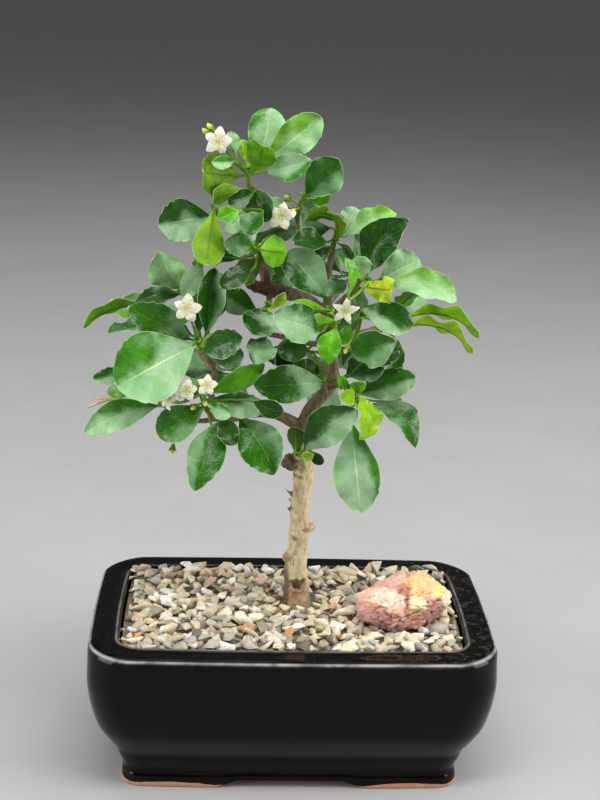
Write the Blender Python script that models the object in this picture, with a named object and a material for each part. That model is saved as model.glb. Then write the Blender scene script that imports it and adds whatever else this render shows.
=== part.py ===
"""Fukien tea bonsai in a glazed rectangular pot, with gravel and an accent stone.

The model is in metres: X runs along the pot, Y from its front to its back, Z is up.
Lengths in the tables are millimetres. Places in the crown are written as they are seen:
x and z on the upright plane through the trunk, and the depth behind that plane at which
the point lies on the same line of sight. Every spray of leaves is one grown solid.
"""

import math
import random
from dataclasses import dataclass, field

import bmesh
import bpy
from mathutils import Matrix, Quaternion, Vector
from mathutils.bvhtree import BVHTree

MM = 0.001
GAP = 0.3
MERGE_DISTANCE = 0.0005

# Where the viewer's eye is, in millimetres
EYE = Vector((-24.1, -534.9, 305.2))

# Pot
POT_LENGTH = 153.0
POT_DEPTH = 99.0
POT_HEIGHT = 58.0
RIM_CORNER = 14.6
SIDE_BOW = 1.3
RIM_WIDTH = 11.3
FLOOR_TOP = 9.5
FOOT_UNDERSIDE = 5.5
ARCH_HEIGHT = 3.2
ARCH_HALF_LONG = 28.0
ARCH_HALF_SHORT = 15.0
DRAIN_X = 36.0
DRAIN_RADIUS = 5.5
POT_OUTSIDE = (
    (0.0, 11.9),
    (4.0, 12.2),
    (6.5, 12.9),
    (11.5, 10.8),
    (15.0, 9.6),
    (20.0, 6.4),
    (26.0, 3.2),
    (34.0, 1.0),
    (43.0, -0.2),
    (54.0, 0.1),
    (POT_HEIGHT, 0.0),
)
POT_INSIDE = (
    (POT_HEIGHT, RIM_WIDTH),
    (54.0, RIM_WIDTH + 0.3),
    (42.0, 10.2),
    (25.0, 12.4),
    (12.0, 18.5),
)

# What fills the pot
SCREEN_SIZE = 17.0
SCREEN_THICKNESS = 1.0
SCREEN_HOLE = 5.0
SCREEN_PITCH = 7.0
SOIL_TOP = 53.2
GRAVEL_BOTTOM = SOIL_TOP + GAP
GRAVEL_TOP = 56.6
GRAVEL_HEAP = 1.6
PEBBLE_PITCH = 8.8
FILL_CLEARANCE = 0.35

# Trunk foot in the soil
TRUNK_X = 2.5
TRUNK_Y = 3.4
FOOT_RADIUS = 5.6
FOOT_BOTTOM = 38.0
FOOT_TOP = 56.0
FOOT_SIDES = 12

# Accent stone
STONE_CENTRE = Vector((42.3, -9.8, 64.9))
STONE_HALF = Vector((18.6, 13.8, 10.6))
STONE_SLANT = Vector((0.0, 2.4, 1.2))
STONE_BASE = 57.2

# Leaves, stalks, buds and flowers
BLADE_HALF_THICKNESS = 0.33
BLADE_WIDEST = 0.62
BLADE_FULLNESS = 1.07
LARGE_BLADE = 300.0
LARGE_STATIONS = (0.2, 0.42, 0.65, 0.87)
SMALL_BLADE = 110.0
SMALL_STATIONS = (0.34, 0.74)
BLADE_STATIONS = (0.28, 0.58, 0.85)
STALK_HALF_WIDTH = 0.52
STALK_HALF_THICKNESS = 0.42
STALK_STRAIGHT = 3.0
TWIG_RADIUS = 1.05
TWIG_END_RADIUS = 0.95
TWIG_SIDES = 5
ROOT_MARGIN = 1.0
ROOT_SPREAD = 2.6
GUARD_GROWTH = 0.5
BUD_RADIUS = 1.25
BUD_LENGTH = 4.2
PETALS = 5
PETAL_THICKNESS = 0.7
PETAL_OUTLINE = ((-0.628, 0.42, 0.1), (-0.3, 0.88, -0.2), (0.0, 1.0, -0.5), (0.3, 0.88, -0.2))
TUBE_LENGTH = 2.6
TUBE_RADIUS = 0.95
DEPTH_SHIFTS = (0, -2, 2, -4, 4, -6, 6, -8, 8, -10, 10, -13, 13, -16, 16, -20, 20, 24, 28)
BASE_SHARES = (0.25, 0.6, 0.0, 1.0)
BACK_LIMIT = 46.0
TRIES_PER_LEAF = 60

# The crown's outline as it is seen: leaves behind the front ones stay inside it
CROWN_OUTLINE = (
    (-14, 248), (-2, 248), (4, 244), (-3, 235), (2, 232), (8, 233), (14, 229), (14, 222), (9, 217),
    (15, 214), (33, 214), (37, 210), (35, 201), (43, 197), (55, 188), (56, 183), (48, 180), (52, 175),
    (66, 175), (67, 169), (56, 170), (44, 169), (42, 163), (43, 151), (40, 145), (46, 136), (45, 125),
    (38, 129), (29, 127), (33, 103), (26, 98), (17, 106), (15, 122), (2, 121), (-4, 126), (-5, 115),
    (-12, 114), (-20, 123), (-26, 129), (-30, 114), (-37, 107), (-41, 115), (-39, 125), (-50, 126),
    (-54, 131), (-77, 128), (-76, 132), (-67, 139), (-74, 142), (-73, 149), (-69, 154), (-67, 163),
    (-77, 168), (-76, 172), (-69, 175), (-67, 180), (-55, 182), (-53, 193), (-48, 196), (-43, 193),
    (-50, 203), (-50, 210), (-42, 214), (-36, 214), (-35, 227), (-33, 233), (-35, 238), (-28, 241),
    (-20, 238), (-19, 245),
)
CROWN_WINDOWS = ((-4.4, 221.5, 3.0), (-25.0, 172.8, 2.5))


@dataclass
class Leaf:
    """One leaf blade as it is seen.

    Attributes:
        base: x, z and depth where the blade starts.
        tip: x, z and depth of its tip.
        width: Full width in millimetres.
        roll: Degrees that the upper face is turned away from the viewer, 180 for its underside.
        arch: Rise of the midrib over the chord, as a share of the length.
        fold: Degrees that each half is raised from the midrib.
        bend: How far the midrib bows sideways, as a share of the length.
        keen: How pointed its outline is, from 0 for blunt to 1.
    """

    base: tuple
    tip: tuple
    width: float
    roll: float = 0.0
    arch: float = 0.08
    fold: float = 16.0
    bend: float = 0.0
    keen: float = 0.0


@dataclass
class Flower:
    """One open flower: its centre as it is seen, its radius and where it faces."""

    centre: tuple
    radius: float
    facing: tuple = (0.0, 0.0, 0.0)


@dataclass
class Spray:
    """A green twig that grows on from a woody tip, with what it carries."""

    name: str
    wood: str
    path: tuple
    leaves: tuple = ()
    flowers: tuple = ()
    buds: tuple = ()
    behind: int = 0


@dataclass
class Taken:
    """Room that something already fills."""

    owner: str
    kind: str
    tree: BVHTree
    low: Vector
    high: Vector


@dataclass
class Shape:
    """Loose mesh data: points in metres and faces."""

    points: list = field(default_factory=list)
    faces: list = field(default_factory=list)


# Woody growth: x, z, depth and radius along each branch, as seen
WOOD = {
    "stem": (
        (2.4, 52.0, 3.4, 5.0), (2.4, 58.0, 3.4, 5.3), (2.2, 63.0, 3.2, 4.9), (1.7, 70.0, 3.0, 4.5),
        (1.5, 78.0, 3.0, 4.3), (1.9, 85.0, 3.0, 3.75), (2.2, 93.0, 3.0, 3.7), (2.3, 101.0, 3.0, 3.7),
        (2.9, 108.0, 3.0, 3.6), (3.2, 114.0, 3.0, 4.1), (2.8, 119.0, 3.0, 4.1), (2.5, 124.0, 3.0, 3.3),
        (2.6, 130.0, 3.0, 2.9), (4.2, 137.0, 3.5, 2.6), (8.5, 143.0, 4.0, 2.4), (12.0, 147.5, 5.0, 2.2),
        (13.0, 155.0, 6.0, 2.0), (11.5, 166.0, 7.0, 1.85), (10.0, 178.0, 7.0, 1.65), (9.5, 188.0, 6.0, 1.45),
        (10.3, 195.0, 5.0, 1.25), (11.0, 199.5, 4.0, 1.1),
    ),
    "cut_stub": ((2.0, 117.2, 3.0, 3.0), (-1.6, 117.2, 1.5, 3.0), (-4.0, 117.8, 0.5, 2.4)),
    "right_knob": ((3.8, 90.5, 3.0, 2.4), (6.4, 91.2, 2.5, 2.1), (8.2, 91.6, 2.2, 1.2)),
    "left_knob": ((0.5, 78.5, 3.0, 2.4), (-2.4, 78.0, 2.4, 2.2), (-3.6, 77.4, 2.2, 1.1)),
    "left": (
        (2.4, 130.5, 3.0, 2.4), (-3.0, 134.0, 2.0, 2.3), (-9.0, 136.5, 1.0, 2.1), (-17.0, 136.5, -1.0, 1.9),
        (-25.0, 134.5, -3.0, 1.7), (-30.0, 138.0, -4.0, 1.4), (-32.5, 145.0, -4.0, 1.3),
        (-31.0, 151.0, -4.0, 1.2), (-33.0, 157.0, -5.0, 1.15), (-35.5, 161.0, -6.5, 1.0),
    ),
    "low_left": ((-24.0, 134.6, -3.0, 1.4), (-29.0, 134.0, -7.0, 1.2), (-33.0, 136.5, -11.0, 1.0)),
    "far_left": ((-29.0, 134.2, -6.0, 1.1), (-36.0, 133.0, -9.0, 1.0), (-43.0, 134.5, -11.0, 0.9)),
    "left_mid": (
        (-33.0, 156.5, -5.0, 1.1), (-37.0, 166.0, -1.0, 1.0), (-38.5, 176.0, 1.0, 0.95),
        (-39.0, 182.0, 0.5, 0.9),
    ),
    "upper_left": (
        (10.6, 174.5, 7.0, 1.6), (3.0, 180.5, 5.0, 1.9), (-5.0, 182.5, 3.0, 2.5), (-12.0, 184.0, 2.0, 2.8),
        (-18.0, 185.5, 1.0, 2.1), (-21.0, 192.0, 1.0, 1.4), (-21.0, 201.0, 0.0, 1.25),
        (-20.0, 210.0, -1.0, 1.15), (-20.0, 218.0, -2.0, 1.05),
    ),
    "left_top": ((-21.0, 202.0, 0.0, 1.1), (-24.5, 207.0, -3.0, 1.0), (-27.5, 210.5, -5.0, 0.9)),
    "centre_left": ((-11.0, 183.0, 2.0, 1.4), (-11.5, 180.5, -2.0, 1.0), (-11.3, 178.8, -4.5, 0.9)),
    "left_inner": ((-12.0, 185.0, 2.0, 1.3), (-13.0, 190.0, -2.0, 1.0), (-14.5, 195.0, -5.0, 0.9)),
    "top_centre": (
        (9.6, 188.0, 6.0, 1.2), (4.0, 196.0, 5.0, 1.1), (-1.0, 203.0, 3.0, 1.0), (-2.2, 210.0, 2.0, 0.9),
    ),
    "right_top": (
        (10.4, 175.0, 7.0, 1.4), (15.0, 180.0, 4.0, 1.3), (19.0, 184.0, 1.0, 1.1), (20.8, 187.0, -1.0, 1.0),
    ),
    "right_mid": ((12.0, 161.0, 7.0, 1.5), (17.0, 167.0, 3.0, 1.3), (20.5, 171.5, -2.0, 1.0)),
    "centre": ((10.8, 171.0, 7.0, 1.3), (11.2, 173.0, 1.0, 1.1), (11.2, 174.5, -4.0, 1.0)),
    "right_low": ((12.0, 147.5, 5.0, 1.6), (15.5, 148.5, 1.0, 1.3), (18.0, 148.0, -4.0, 1.0)),
    "shiny": ((9.6, 144.5, 4.5, 1.4), (9.6, 147.5, -1.0, 1.1), (9.2, 149.0, -5.0, 1.0)),
    "trunk_top": ((1.6, 118.0, 3.0, 2.0), (1.2, 119.4, -2.0, 1.6), (1.0, 120.4, -5.0, 1.3)),
    "mid_left": (
        (12.0, 163.0, 7.0, 1.4), (3.0, 164.0, 6.0, 1.1), (-8.0, 166.5, 4.0, 1.0), (-16.0, 167.5, 2.5, 0.9),
    ),
    "back_low": ((12.6, 150.0, 5.0, 1.5), (9.0, 154.0, 14.0, 1.3), (5.0, 158.0, 22.0, 1.0)),
    "back_left_low": ((-17.0, 136.6, -1.0, 1.5), (-19.0, 142.0, 8.0, 1.2), (-21.0, 148.0, 16.0, 1.0)),
    "back_right": ((10.0, 179.0, 7.0, 1.4), (14.0, 184.0, 15.0, 1.2), (18.0, 188.0, 22.0, 1.0)),
    "back_left": ((-13.0, 184.2, 2.0, 1.5), (-14.0, 189.0, 10.0, 1.2), (-17.0, 194.0, 17.0, 1.0)),
    "back_top": ((9.7, 191.0, 5.6, 1.2), (6.0, 197.0, 12.0, 1.1), (3.0, 201.0, 17.0, 1.0)),
    "back_far_left": ((-32.0, 154.0, -4.4, 1.1), (-38.0, 160.0, 6.0, 1.0), (-44.0, 164.0, 13.0, 0.9)),
    "back_far_right": ((15.5, 165.4, 4.2, 1.2), (22.0, 168.0, 11.0, 1.1), (28.0, 170.0, 17.0, 1.0)),
}

SPRAYS = (
    Spray(
        "spray_top_left", "upper_left", ((-19.8, 222.0, -3.0), (-20.0, 226.5, -4.0)),
        leaves=(
            Leaf((-16.2, 228.4, -3.0), (-12.4, 249.1, 2.0), 12.8, 0, 0.06, 12),
            Leaf((-14.0, 230.4, -4.0), (5.2, 246.6, -1.0), 12.2, 0, 0.05, 10),
            Leaf((-13.8, 226.8, -5.0), (2.0, 231.2, -10.0), 9.5, 10, 0.08, 14, 0, 0.3),
            Leaf((-18.4, 226.6, -5.0), (-14.8, 236.2, -11.0), 11.6, 170, 0.06, 10),
            Leaf((-23.2, 225.0, -5.0), (-36.4, 225.8, -15.0), 14.8, 180, 0.10, 8),
            Leaf((-21.0, 219.8, -5.0), (-33.0, 215.8, -12.0), 7.0, 150, 0.12, 14),
            Leaf((-18.3, 220.4, -5.0), (-12.0, 209.4, -12.0), 10.6, 20, 0.12, 14),
            Leaf((-21.2, 230.6, -4.0), (-22.8, 237.6, -6.0), 5.0, 30, 0.05, 20),
            Leaf((-24.6, 232.5, -2.0), (-27.2, 240.4, 0.0), 5.0, 10, 0.05, 20),
            Leaf((-25.4, 230.0, -10.0), (-33.2, 229.6, -19.0), 4.6, -10, 0.05, 20),
            Leaf((-18.0, 219.4, -2.0), (-27.2, 215.8, -6.0), 6.0, -20, 0.08, 14),
        ),
        flowers=(Flower((-31.0, 237.0, -13.0), 5.2),),
        buds=((-33.6, 241.6, -8.0), (-35.2, 240.0, -10.0)),
    ),
    Spray(
        "spray_top_centre", "top_centre", ((-2.0, 213.0, 1.5), (-0.6, 217.0, 1.0)),
        leaves=(
            Leaf((0.8, 218.8, 0.0), (12.0, 231.8, 0.0), 13.6, 5, 0.06, 16, 0, 0.5),
            Leaf((0.8, 217.4, -2.0), (9.0, 219.2, -6.0), 6.5, 62, 0.08, 20),
        ),
        flowers=(Flower((-8.0, 211.0, -9.0), 5.3),),
        buds=((-5.6, 217.4, -2.0), (-3.6, 213.0, -5.0)),
    ),
    Spray(
        "spray_crown", "stem", ((11.6, 203.0, 3.0), (12.4, 206.5, 2.0)),
        leaves=(
            Leaf((12.8, 203.0, 0.0), (9.4, 213.0, -7.0), 7.0, 118, 0.10, 22),
            Leaf((13.6, 209.4, 1.0), (0.2, 209.2, -3.0), 8.0, 128, 0.22, 12),
            Leaf((10.0, 207.0, 5.0), (-1.2, 206.4, 7.0), 7.5, -12, 0.08, 12),
            Leaf((8.6, 201.8, 0.0), (-3.4, 201.4, -9.0), 9.0, 28, 0.10, 18),
            Leaf((10.0, 200.0, 6.0), (2.6, 195.4, 6.0), 7.5, 10, 0.08, 14),
            Leaf((14.6, 205.4, 4.0), (18.8, 214.6, 6.0), 9.0, 10, 0.08, 14),
            Leaf((15.8, 204.2, 2.0), (33.2, 213.2, 0.0), 8.8, -38, 0.10, 22, 0, 0.4),
        ),
    ),
    Spray(
        "spray_right_top", "right_top", ((21.8, 188.6, -3.0), (23.4, 189.0, -6.0), (26.0, 187.6, -8.5)),
        leaves=(
            Leaf((24.0, 190.4, -5.0), (38.0, 211.0, -6.0), 13.8, -16, 0.07, 20, -0.13, 0.9),
            Leaf((20.0, 192.0, -1.0), (21.4, 207.0, 2.0), 8.5, 28, 0.08, 16),
            Leaf((28.8, 188.6, -6.0), (42.8, 196.2, -5.0), 13.2, 0, 0.08, 12),
            Leaf((30.8, 185.8, -9.0), (57.2, 182.4, -14.0), 11.4, -30, 0.11, 12, -0.08, 0.0),
            Leaf((23.0, 185.8, -9.0), (34.2, 184.6, -14.0), 9.0, 168, 0.08, 14),
            Leaf((22.0, 188.4, -9.0), (20.4, 197.0, -13.0), 8.0, 12, -0.08, 26),
            Leaf((17.4, 181.6, -4.0), (16.0, 196.0, -7.0), 6.5, 66, 0.08, 20),
            Leaf((16.2, 187.6, -2.0), (9.8, 182.4, -7.0), 7.0, 20, 0.08, 16),
        ),
    ),
    Spray(
        "spray_right_mid", "right_mid", ((22.0, 173.6, -4.5), (22.6, 174.4, -8.0)),
        leaves=(
            Leaf((22.4, 177.6, -9.0), (41.4, 170.6, -14.0), 11.0, -12, 0.14, 16),
            Leaf((19.6, 160.6, -9.0), (35.6, 166.0, -17.0), 12.5, 8, 0.09, 12, 0, 0.2),
            Leaf((22.6, 157.4, -2.0), (37.2, 161.4, -2.0), 9.5, -20, 0.08, 14),
            Leaf((37.0, 173.8, -5.0), (67.0, 168.6, -8.0), 10.0, -116, 0.17, 16),
            Leaf((36.6, 171.0, -9.0), (65.0, 162.2, -14.0), 9.0, -112, 0.16, 16),
            Leaf((18.6, 171.0, -7.0), (15.4, 163.6, -11.0), 5.0, 0, 0.08, 18),
        ),
        flowers=(Flower((16.5, 176.4, -16.0), 5.6),),
        buds=((17.6, 162.0, -14.0),),
    ),
    Spray(
        "spray_centre", "centre", ((11.0, 175.4, -6.5), (11.0, 176.0, -9.0)),
        leaves=(
            Leaf((9.6, 181.0, -7.0), (-5.4, 198.2, -11.0), 13.5, 8, 0.10, 14),
            Leaf((9.4, 176.6, -11.0), (-4.6, 176.2, -16.0), 7.0, 162, 0.10, 12),
            Leaf((14.0, 171.8, -11.0), (2.6, 170.4, -17.0), 6.0, 150, 0.10, 12),
            Leaf((13.4, 169.8, -13.0), (11.2, 156.0, -19.0), 8.2, 5, 0.10, 14, 0.07, 0.6),
            Leaf((7.4, 168.2, -4.0), (-9.2, 173.6, -9.0), 13.4, 12, 0.10, 12),
        ),
    ),
    Spray(
        "spray_centre_left", "centre_left", ((-11.2, 178.0, -6.0), (-11.4, 177.6, -8.0)),
        leaves=(
            Leaf((-11.4, 176.6, -8.0), (-16.8, 166.6, -14.0), 12.4, 12, 0.08, 12),
            Leaf((-9.6, 177.4, -8.0), (-6.0, 182.8, -12.0), 4.0, 20, 0.08, 20),
        ),
    ),
    Spray(
        "spray_left_top", "left_top", ((-29.4, 211.8, -7.0), (-31.0, 212.2, -9.0)),
        leaves=(
            Leaf((-33.4, 210.0, -8.0), (-52.0, 206.8, -13.0), 14.4, 5, 0.09, 14),
            Leaf((-32.2, 212.0, -12.0), (-34.2, 192.2, -20.0), 11.0, 172, 0.11, 12),
            Leaf((-23.0, 210.4, -9.0), (-28.0, 205.0, -13.0), 6.0, -20, 0.08, 22),
            Leaf((-14.6, 212.0, -4.0), (-20.6, 204.0, -9.0), 8.6, 30, 0.08, 18),
            Leaf((-23.0, 212.2, -4.0), (-30.6, 209.4, -6.0), 6.0, 20, 0.08, 18),
        ),
    ),
    Spray(
        "spray_left_inner", "left_inner", ((-15.4, 197.6, -7.0), (-16.2, 199.0, -9.0)),
        leaves=(
            Leaf((-17.6, 199.4, -10.0), (-28.4, 200.6, -15.0), 8.0, 0, 0.08, 14),
            Leaf((-15.4, 198.6, -12.0), (-5.6, 197.6, -9.0), 11.0, 172, 0.07, 10),
            Leaf((-14.4, 194.8, -9.0), (-23.0, 187.2, -14.0), 9.0, 164, 0.09, 12),
            Leaf((-22.6, 195.0, -7.0), (-36.0, 194.6, -12.0), 9.0, 140, 0.10, 14),
            Leaf((-18.6, 190.4, -3.0), (-29.4, 184.8, -6.0), 7.5, 10, 0.08, 14),
        ),
    ),
    Spray(
        "spray_left_mid", "left_mid", ((-39.2, 184.4, 0.0), (-40.0, 187.0, -1.0), (-39.0, 191.0, -2.0)),
        leaves=(
            Leaf((-44.0, 183.4, -1.0), (-51.8, 196.4, -6.0), 13.0, -18, 0.08, 28),
            Leaf((-36.4, 193.6, -6.0), (-42.6, 180.4, -12.0), 7.5, -12, 0.09, 14),
            Leaf((-45.2, 182.2, 1.0), (-70.2, 176.2, 3.0), 9.8, -30, 0.10, 14),
            Leaf((-43.8, 181.4, -4.0), (-60.0, 177.6, -9.0), 7.0, 30, 0.10, 16),
            Leaf((-53.6, 177.0, -2.0), (-79.4, 168.2, -5.0), 9.6, 114, 0.12, 16),
        ),
    ),
    Spray(
        "spray_left_low", "left", ((-36.6, 162.6, -8.0), (-37.2, 163.8, -11.0)),
        leaves=(
            Leaf((-34.4, 167.0, -8.0), (-31.6, 191.4, -9.0), 9.5, 5, 0.05, 42),
            Leaf((-33.4, 168.0, -5.0), (-29.0, 189.4, -4.0), 7.0, 55, 0.06, 22),
            Leaf((-37.0, 167.0, -6.0), (-37.2, 182.4, -2.0), 6.5, 10, 0.06, 18),
            Leaf((-40.4, 164.6, -10.0), (-62.8, 176.0, -15.0), 12.5, 0, 0.09, 14, 0, 0.3),
            Leaf((-38.8, 162.4, -13.0), (-67.0, 146.0, -22.0), 24.0, 0, 0.09, 9),
            Leaf((-36.4, 161.8, -13.0), (-28.6, 168.0, -17.0), 6.0, 30, 0.10, 22),
            Leaf((-35.6, 161.0, -12.0), (-31.0, 160.2, -16.0), 3.2, 10, 0.08, 20),
            Leaf((-35.4, 160.0, -6.0), (-21.0, 165.6, -8.0), 10.0, -8, 0.08, 14),
            Leaf((-33.6, 158.4, -1.0), (-20.4, 158.6, 1.0), 8.5, 5, 0.08, 12),
        ),
        flowers=(Flower((-41.5, 176.0, -18.0), 5.4),),
    ),
    Spray(
        "spray_low_left", "low_left", ((-34.4, 138.6, -13.0), (-35.0, 141.0, -14.5), (-36.6, 146.0, -16.0)),
        leaves=(
            Leaf((-34.8, 138.4, -17.0), (-52.0, 127.0, -24.0), 12.4, 0, 0.09, 12),
            Leaf((-32.6, 141.4, -15.0), (-11.8, 138.2, -20.0), 9.0, 0, 0.10, 14),
            Leaf((-32.4, 144.2, -13.0), (-12.6, 155.4, -14.0), 8.0, 18, 0.07, 14, 0, 0.3),
            Leaf((-29.0, 133.0, -12.0), (-38.0, 105.6, -15.0), 12.8, 0, 0.07, 12, 0, 0.5),
            Leaf((-21.2, 134.2, -12.0), (-7.8, 112.2, -17.0), 15.4, 0, 0.08, 14, -0.06, 0.7),
            Leaf((-32.6, 139.8, -16.0), (-24.8, 134.8, -19.0), 5.6, 10, 0.08, 14),
            Leaf((-27.6, 134.0, -7.0), (-23.4, 123.6, -9.0), 7.5, 0, 0.08, 14),
            Leaf((-16.6, 141.0, -6.0), (-5.2, 136.8, -8.0), 6.5, 10, 0.08, 14),
        ),
        flowers=(
            Flower((-41.4, 145.0, -22.0), 4.2),
            Flower((-33.8, 147.0, -27.5), 4.0),
            Flower((-47.8, 141.6, -21.0), 5.0, (-0.75, -0.45, 0.45)),
        ),
        buds=((-38.4, 138.4, -19.0), (-34.6, 140.2, -21.0), (-28.6, 121.4, -20.0)),
    ),
    Spray(
        "spray_far_left", "far_left", ((-45.4, 135.4, -11.5), (-49.0, 138.0, -12.0)),
        leaves=(
            Leaf((-52.2, 138.6, -12.0), (-79.6, 127.3, -16.0), 10.4, 5, 0.10, 14, 0.05, 0.7),
            Leaf((-58.0, 149.0, -4.0), (-76.0, 148.8, -5.0), 6.5, 20, 0.08, 18),
            Leaf((-60.0, 146.0, -8.0), (-70.8, 143.4, -13.0), 6.0, 0, 0.08, 18),
        ),
        buds=((-46.4, 121.6, -16.0),),
    ),
    Spray(
        "spray_shiny", "shiny", ((9.0, 149.4, -7.0), (8.6, 149.6, -9.0)),
        leaves=(
            Leaf((9.4, 149.0, -11.0), (-16.6, 147.2, -17.0), 13.2, -4, 0.10, 12, 0, 0.4),
            Leaf((4.4, 160.4, -3.0), (-8.2, 161.6, -6.0), 8.5, 5, 0.08, 12),
            Leaf((18.0, 152.0, 1.0), (24.0, 158.8, 2.0), 8.0, 20, 0.08, 14),
            Leaf((8.4, 153.6, -4.0), (-2.0, 154.4, -7.0), 7.0, 10, 0.08, 14),
            Leaf((1.0, 157.0, -1.0), (-12.0, 159.2, -3.0), 8.0, 10, 0.08, 14),
            Leaf((19.0, 151.4, -3.0), (32.0, 156.2, -6.0), 7.5, 10, 0.08, 14),
        ),
    ),
    Spray(
        "spray_mid_left", "mid_left", ((-17.4, 168.2, 1.5), (-18.0, 170.0, 1.0)),
        leaves=(
            Leaf((-15.6, 175.2, 0.0), (-29.4, 181.6, 0.0), 9.5, 0, 0.08, 14),
            Leaf((-12.4, 165.6, -2.0), (-15.6, 155.6, -7.0), 10.5, 0, 0.09, 12),
        ),
    ),
    Spray(
        "spray_trunk_top", "trunk_top", ((0.9, 121.2, -7.0), (0.9, 121.6, -8.5)),
        leaves=(
            Leaf((0.2, 120.4, -9.5), (-0.8, 131.4, -11.0), 6.5, 166, 0.08, 16),
            Leaf((3.4, 122.4, -9.0), (22.0, 138.6, -17.0), 13.8, 0, 0.09, 12, -0.06, 0.1),
            Leaf((5.6, 121.8, -6.0), (10.4, 116.8, -8.0), 4.0, 10, 0.10, 20),
            Leaf((2.4, 119.0, -9.0), (6.8, 120.6, -12.0), 3.4, 10, 0.08, 20),
        ),
    ),
    Spray(
        "spray_right_low", "right_low", ((19.2, 147.2, -6.5), (20.0, 146.0, -9.0), (21.6, 142.6, -12.0)),
        leaves=(
            Leaf((21.6, 145.0, -10.0), (44.0, 151.4, -15.0), 11.0, -5, 0.08, 14),
            Leaf((25.8, 140.2, -11.0), (45.6, 124.2, -16.0), 11.4, -38, 0.2, 14, -0.13, 0.3),
            Leaf((22.6, 144.2, -16.0), (25.2, 126.8, -22.0), 11.0, -42, 0.2, 14, -0.06, 0.0),
            Leaf((20.4, 133.4, -13.0), (25.8, 97.0, -14.0), 16.2, 0, 0.06, 8, 0.0, 0.35),
            Leaf((19.6, 146.8, -12.0), (25.4, 148.8, -16.0), 4.4, 10, 0.08, 20),
            Leaf((17.4, 146.6, -8.0), (15.2, 151.4, -13.0), 4.0, 10, 0.08, 20),
            Leaf((18.0, 146.0, -12.0), (20.6, 140.6, -16.0), 5.4, 10, 0.08, 20),
        ),
        buds=((38.0, 142.0, -10.0),),
    ),
    Spray("spray_back_low", "back_low", ((3.0, 160.0, 26.0), (1.0, 162.0, 30.0)), behind=4),
    Spray("spray_back_left_low", "back_left_low", ((-22.0, 151.0, 20.0), (-23.0, 153.0, 24.0)), behind=4),
    Spray("spray_back_right", "back_right", ((20.0, 190.0, 26.0), (21.0, 192.0, 30.0)), behind=5),
    Spray("spray_back_left", "back_left", ((-19.0, 197.0, 21.0), (-21.0, 199.0, 25.0)), behind=5),
    Spray("spray_back_top", "back_top", ((1.5, 203.0, 20.0), (0.0, 205.0, 23.0)), behind=4),
    Spray("spray_back_far_left", "back_far_left", ((-47.0, 166.0, 16.0), (-49.0, 168.0, 19.0)), behind=4),
    Spray("spray_back_far_right", "back_far_right", ((31.0, 171.0, 20.0), (34.0, 172.0, 23.0)), behind=4),
)


def seen(x, z, depth):
    """Return the point, in metres, at a depth on the line of sight through (x, z).

    Args:
        x: Millimetres along the upright plane through the trunk.
        z: Millimetres above the table on that plane.
        depth: Millimetres behind that plane, negative in front of it.

    Returns:
        The point as a Vector in metres.
    """
    on_plane = Vector((x, 0.0, z))
    reach = (depth - EYE.y) / -EYE.y
    return (EYE + (on_plane - EYE) * reach) * MM


def material(name, colour, roughness, metallic=0.0):
    """Return a Principled material of one plain colour."""
    found = bpy.data.materials.new(name)
    found.use_nodes = True
    shader = found.node_tree.nodes["Principled BSDF"]
    shader.inputs["Base Color"].default_value = (*colour, 1.0)
    shader.inputs["Roughness"].default_value = roughness
    shader.inputs["Metallic"].default_value = metallic
    return found


def add_object(name, shape, look, smooth_angle=None):
    """Add one closed mesh object with its faces pointing out.

    Args:
        name: Object name, which is the piece's name.
        shape: Points and faces.
        look: Material.
        smooth_angle: Degrees under which edges are shaded smooth, or None for flat.

    Returns:
        The new object.
    """
    mesh = bpy.data.meshes.new(name)
    mesh.from_pydata([tuple(p) for p in shape.points], [], shape.faces)
    work = bmesh.new()
    work.from_mesh(mesh)
    bmesh.ops.recalc_face_normals(work, faces=work.faces)
    work.to_mesh(mesh)
    work.free()
    mesh.materials.append(look)
    if smooth_angle is not None:
        mesh.shade_smooth()
        mesh.set_sharp_from_angle(angle=math.radians(smooth_angle))
    made = bpy.data.objects.new(name, mesh)
    bpy.context.scene.collection.objects.link(made)
    return made


def apply_modifiers(made):
    """Replace an object's mesh with what its modifiers make of it."""
    graph = bpy.context.evaluated_depsgraph_get()
    result = bpy.data.meshes.new_from_object(made.evaluated_get(graph))
    made.modifiers.clear()
    made.data = result


def combine(made, others, operation, solver="EXACT"):
    """Join, cut or trim an object with others and remove them."""
    group = bpy.data.collections.new(made.name + "_group")
    bpy.context.scene.collection.children.link(group)
    for other in others:
        bpy.context.scene.collection.objects.unlink(other)
        group.objects.link(other)
    modifier = made.modifiers.new(operation.title(), "BOOLEAN")
    modifier.operation = operation
    modifier.operand_type = "COLLECTION"
    modifier.collection = group
    modifier.solver = solver
    bpy.context.view_layer.update()
    apply_modifiers(made)
    for other in others:
        bpy.data.objects.remove(other)
    bpy.data.collections.remove(group)


def tidy_union(made):
    """Merge doubled points, split faces into triangles and keep the outer body."""
    work = bmesh.new()
    work.from_mesh(made.data)
    bmesh.ops.remove_doubles(work, verts=work.verts, dist=MERGE_DISTANCE * MM)
    bmesh.ops.triangulate(work, faces=work.faces)
    islands = face_islands(work)
    islands.sort(key=len, reverse=True)
    loose = [face for island in islands[1:] for face in island]
    bmesh.ops.delete(work, geom=loose, context="FACES")
    work.to_mesh(made.data)
    work.free()
    return [len(island) for island in islands[1:]]


def open_edges(made):
    """Return how many edges of an object don't join exactly two faces."""
    work = bmesh.new()
    work.from_mesh(made.data)
    count = sum(len(edge.link_faces) != 2 for edge in work.edges)
    work.free()
    return count


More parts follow.
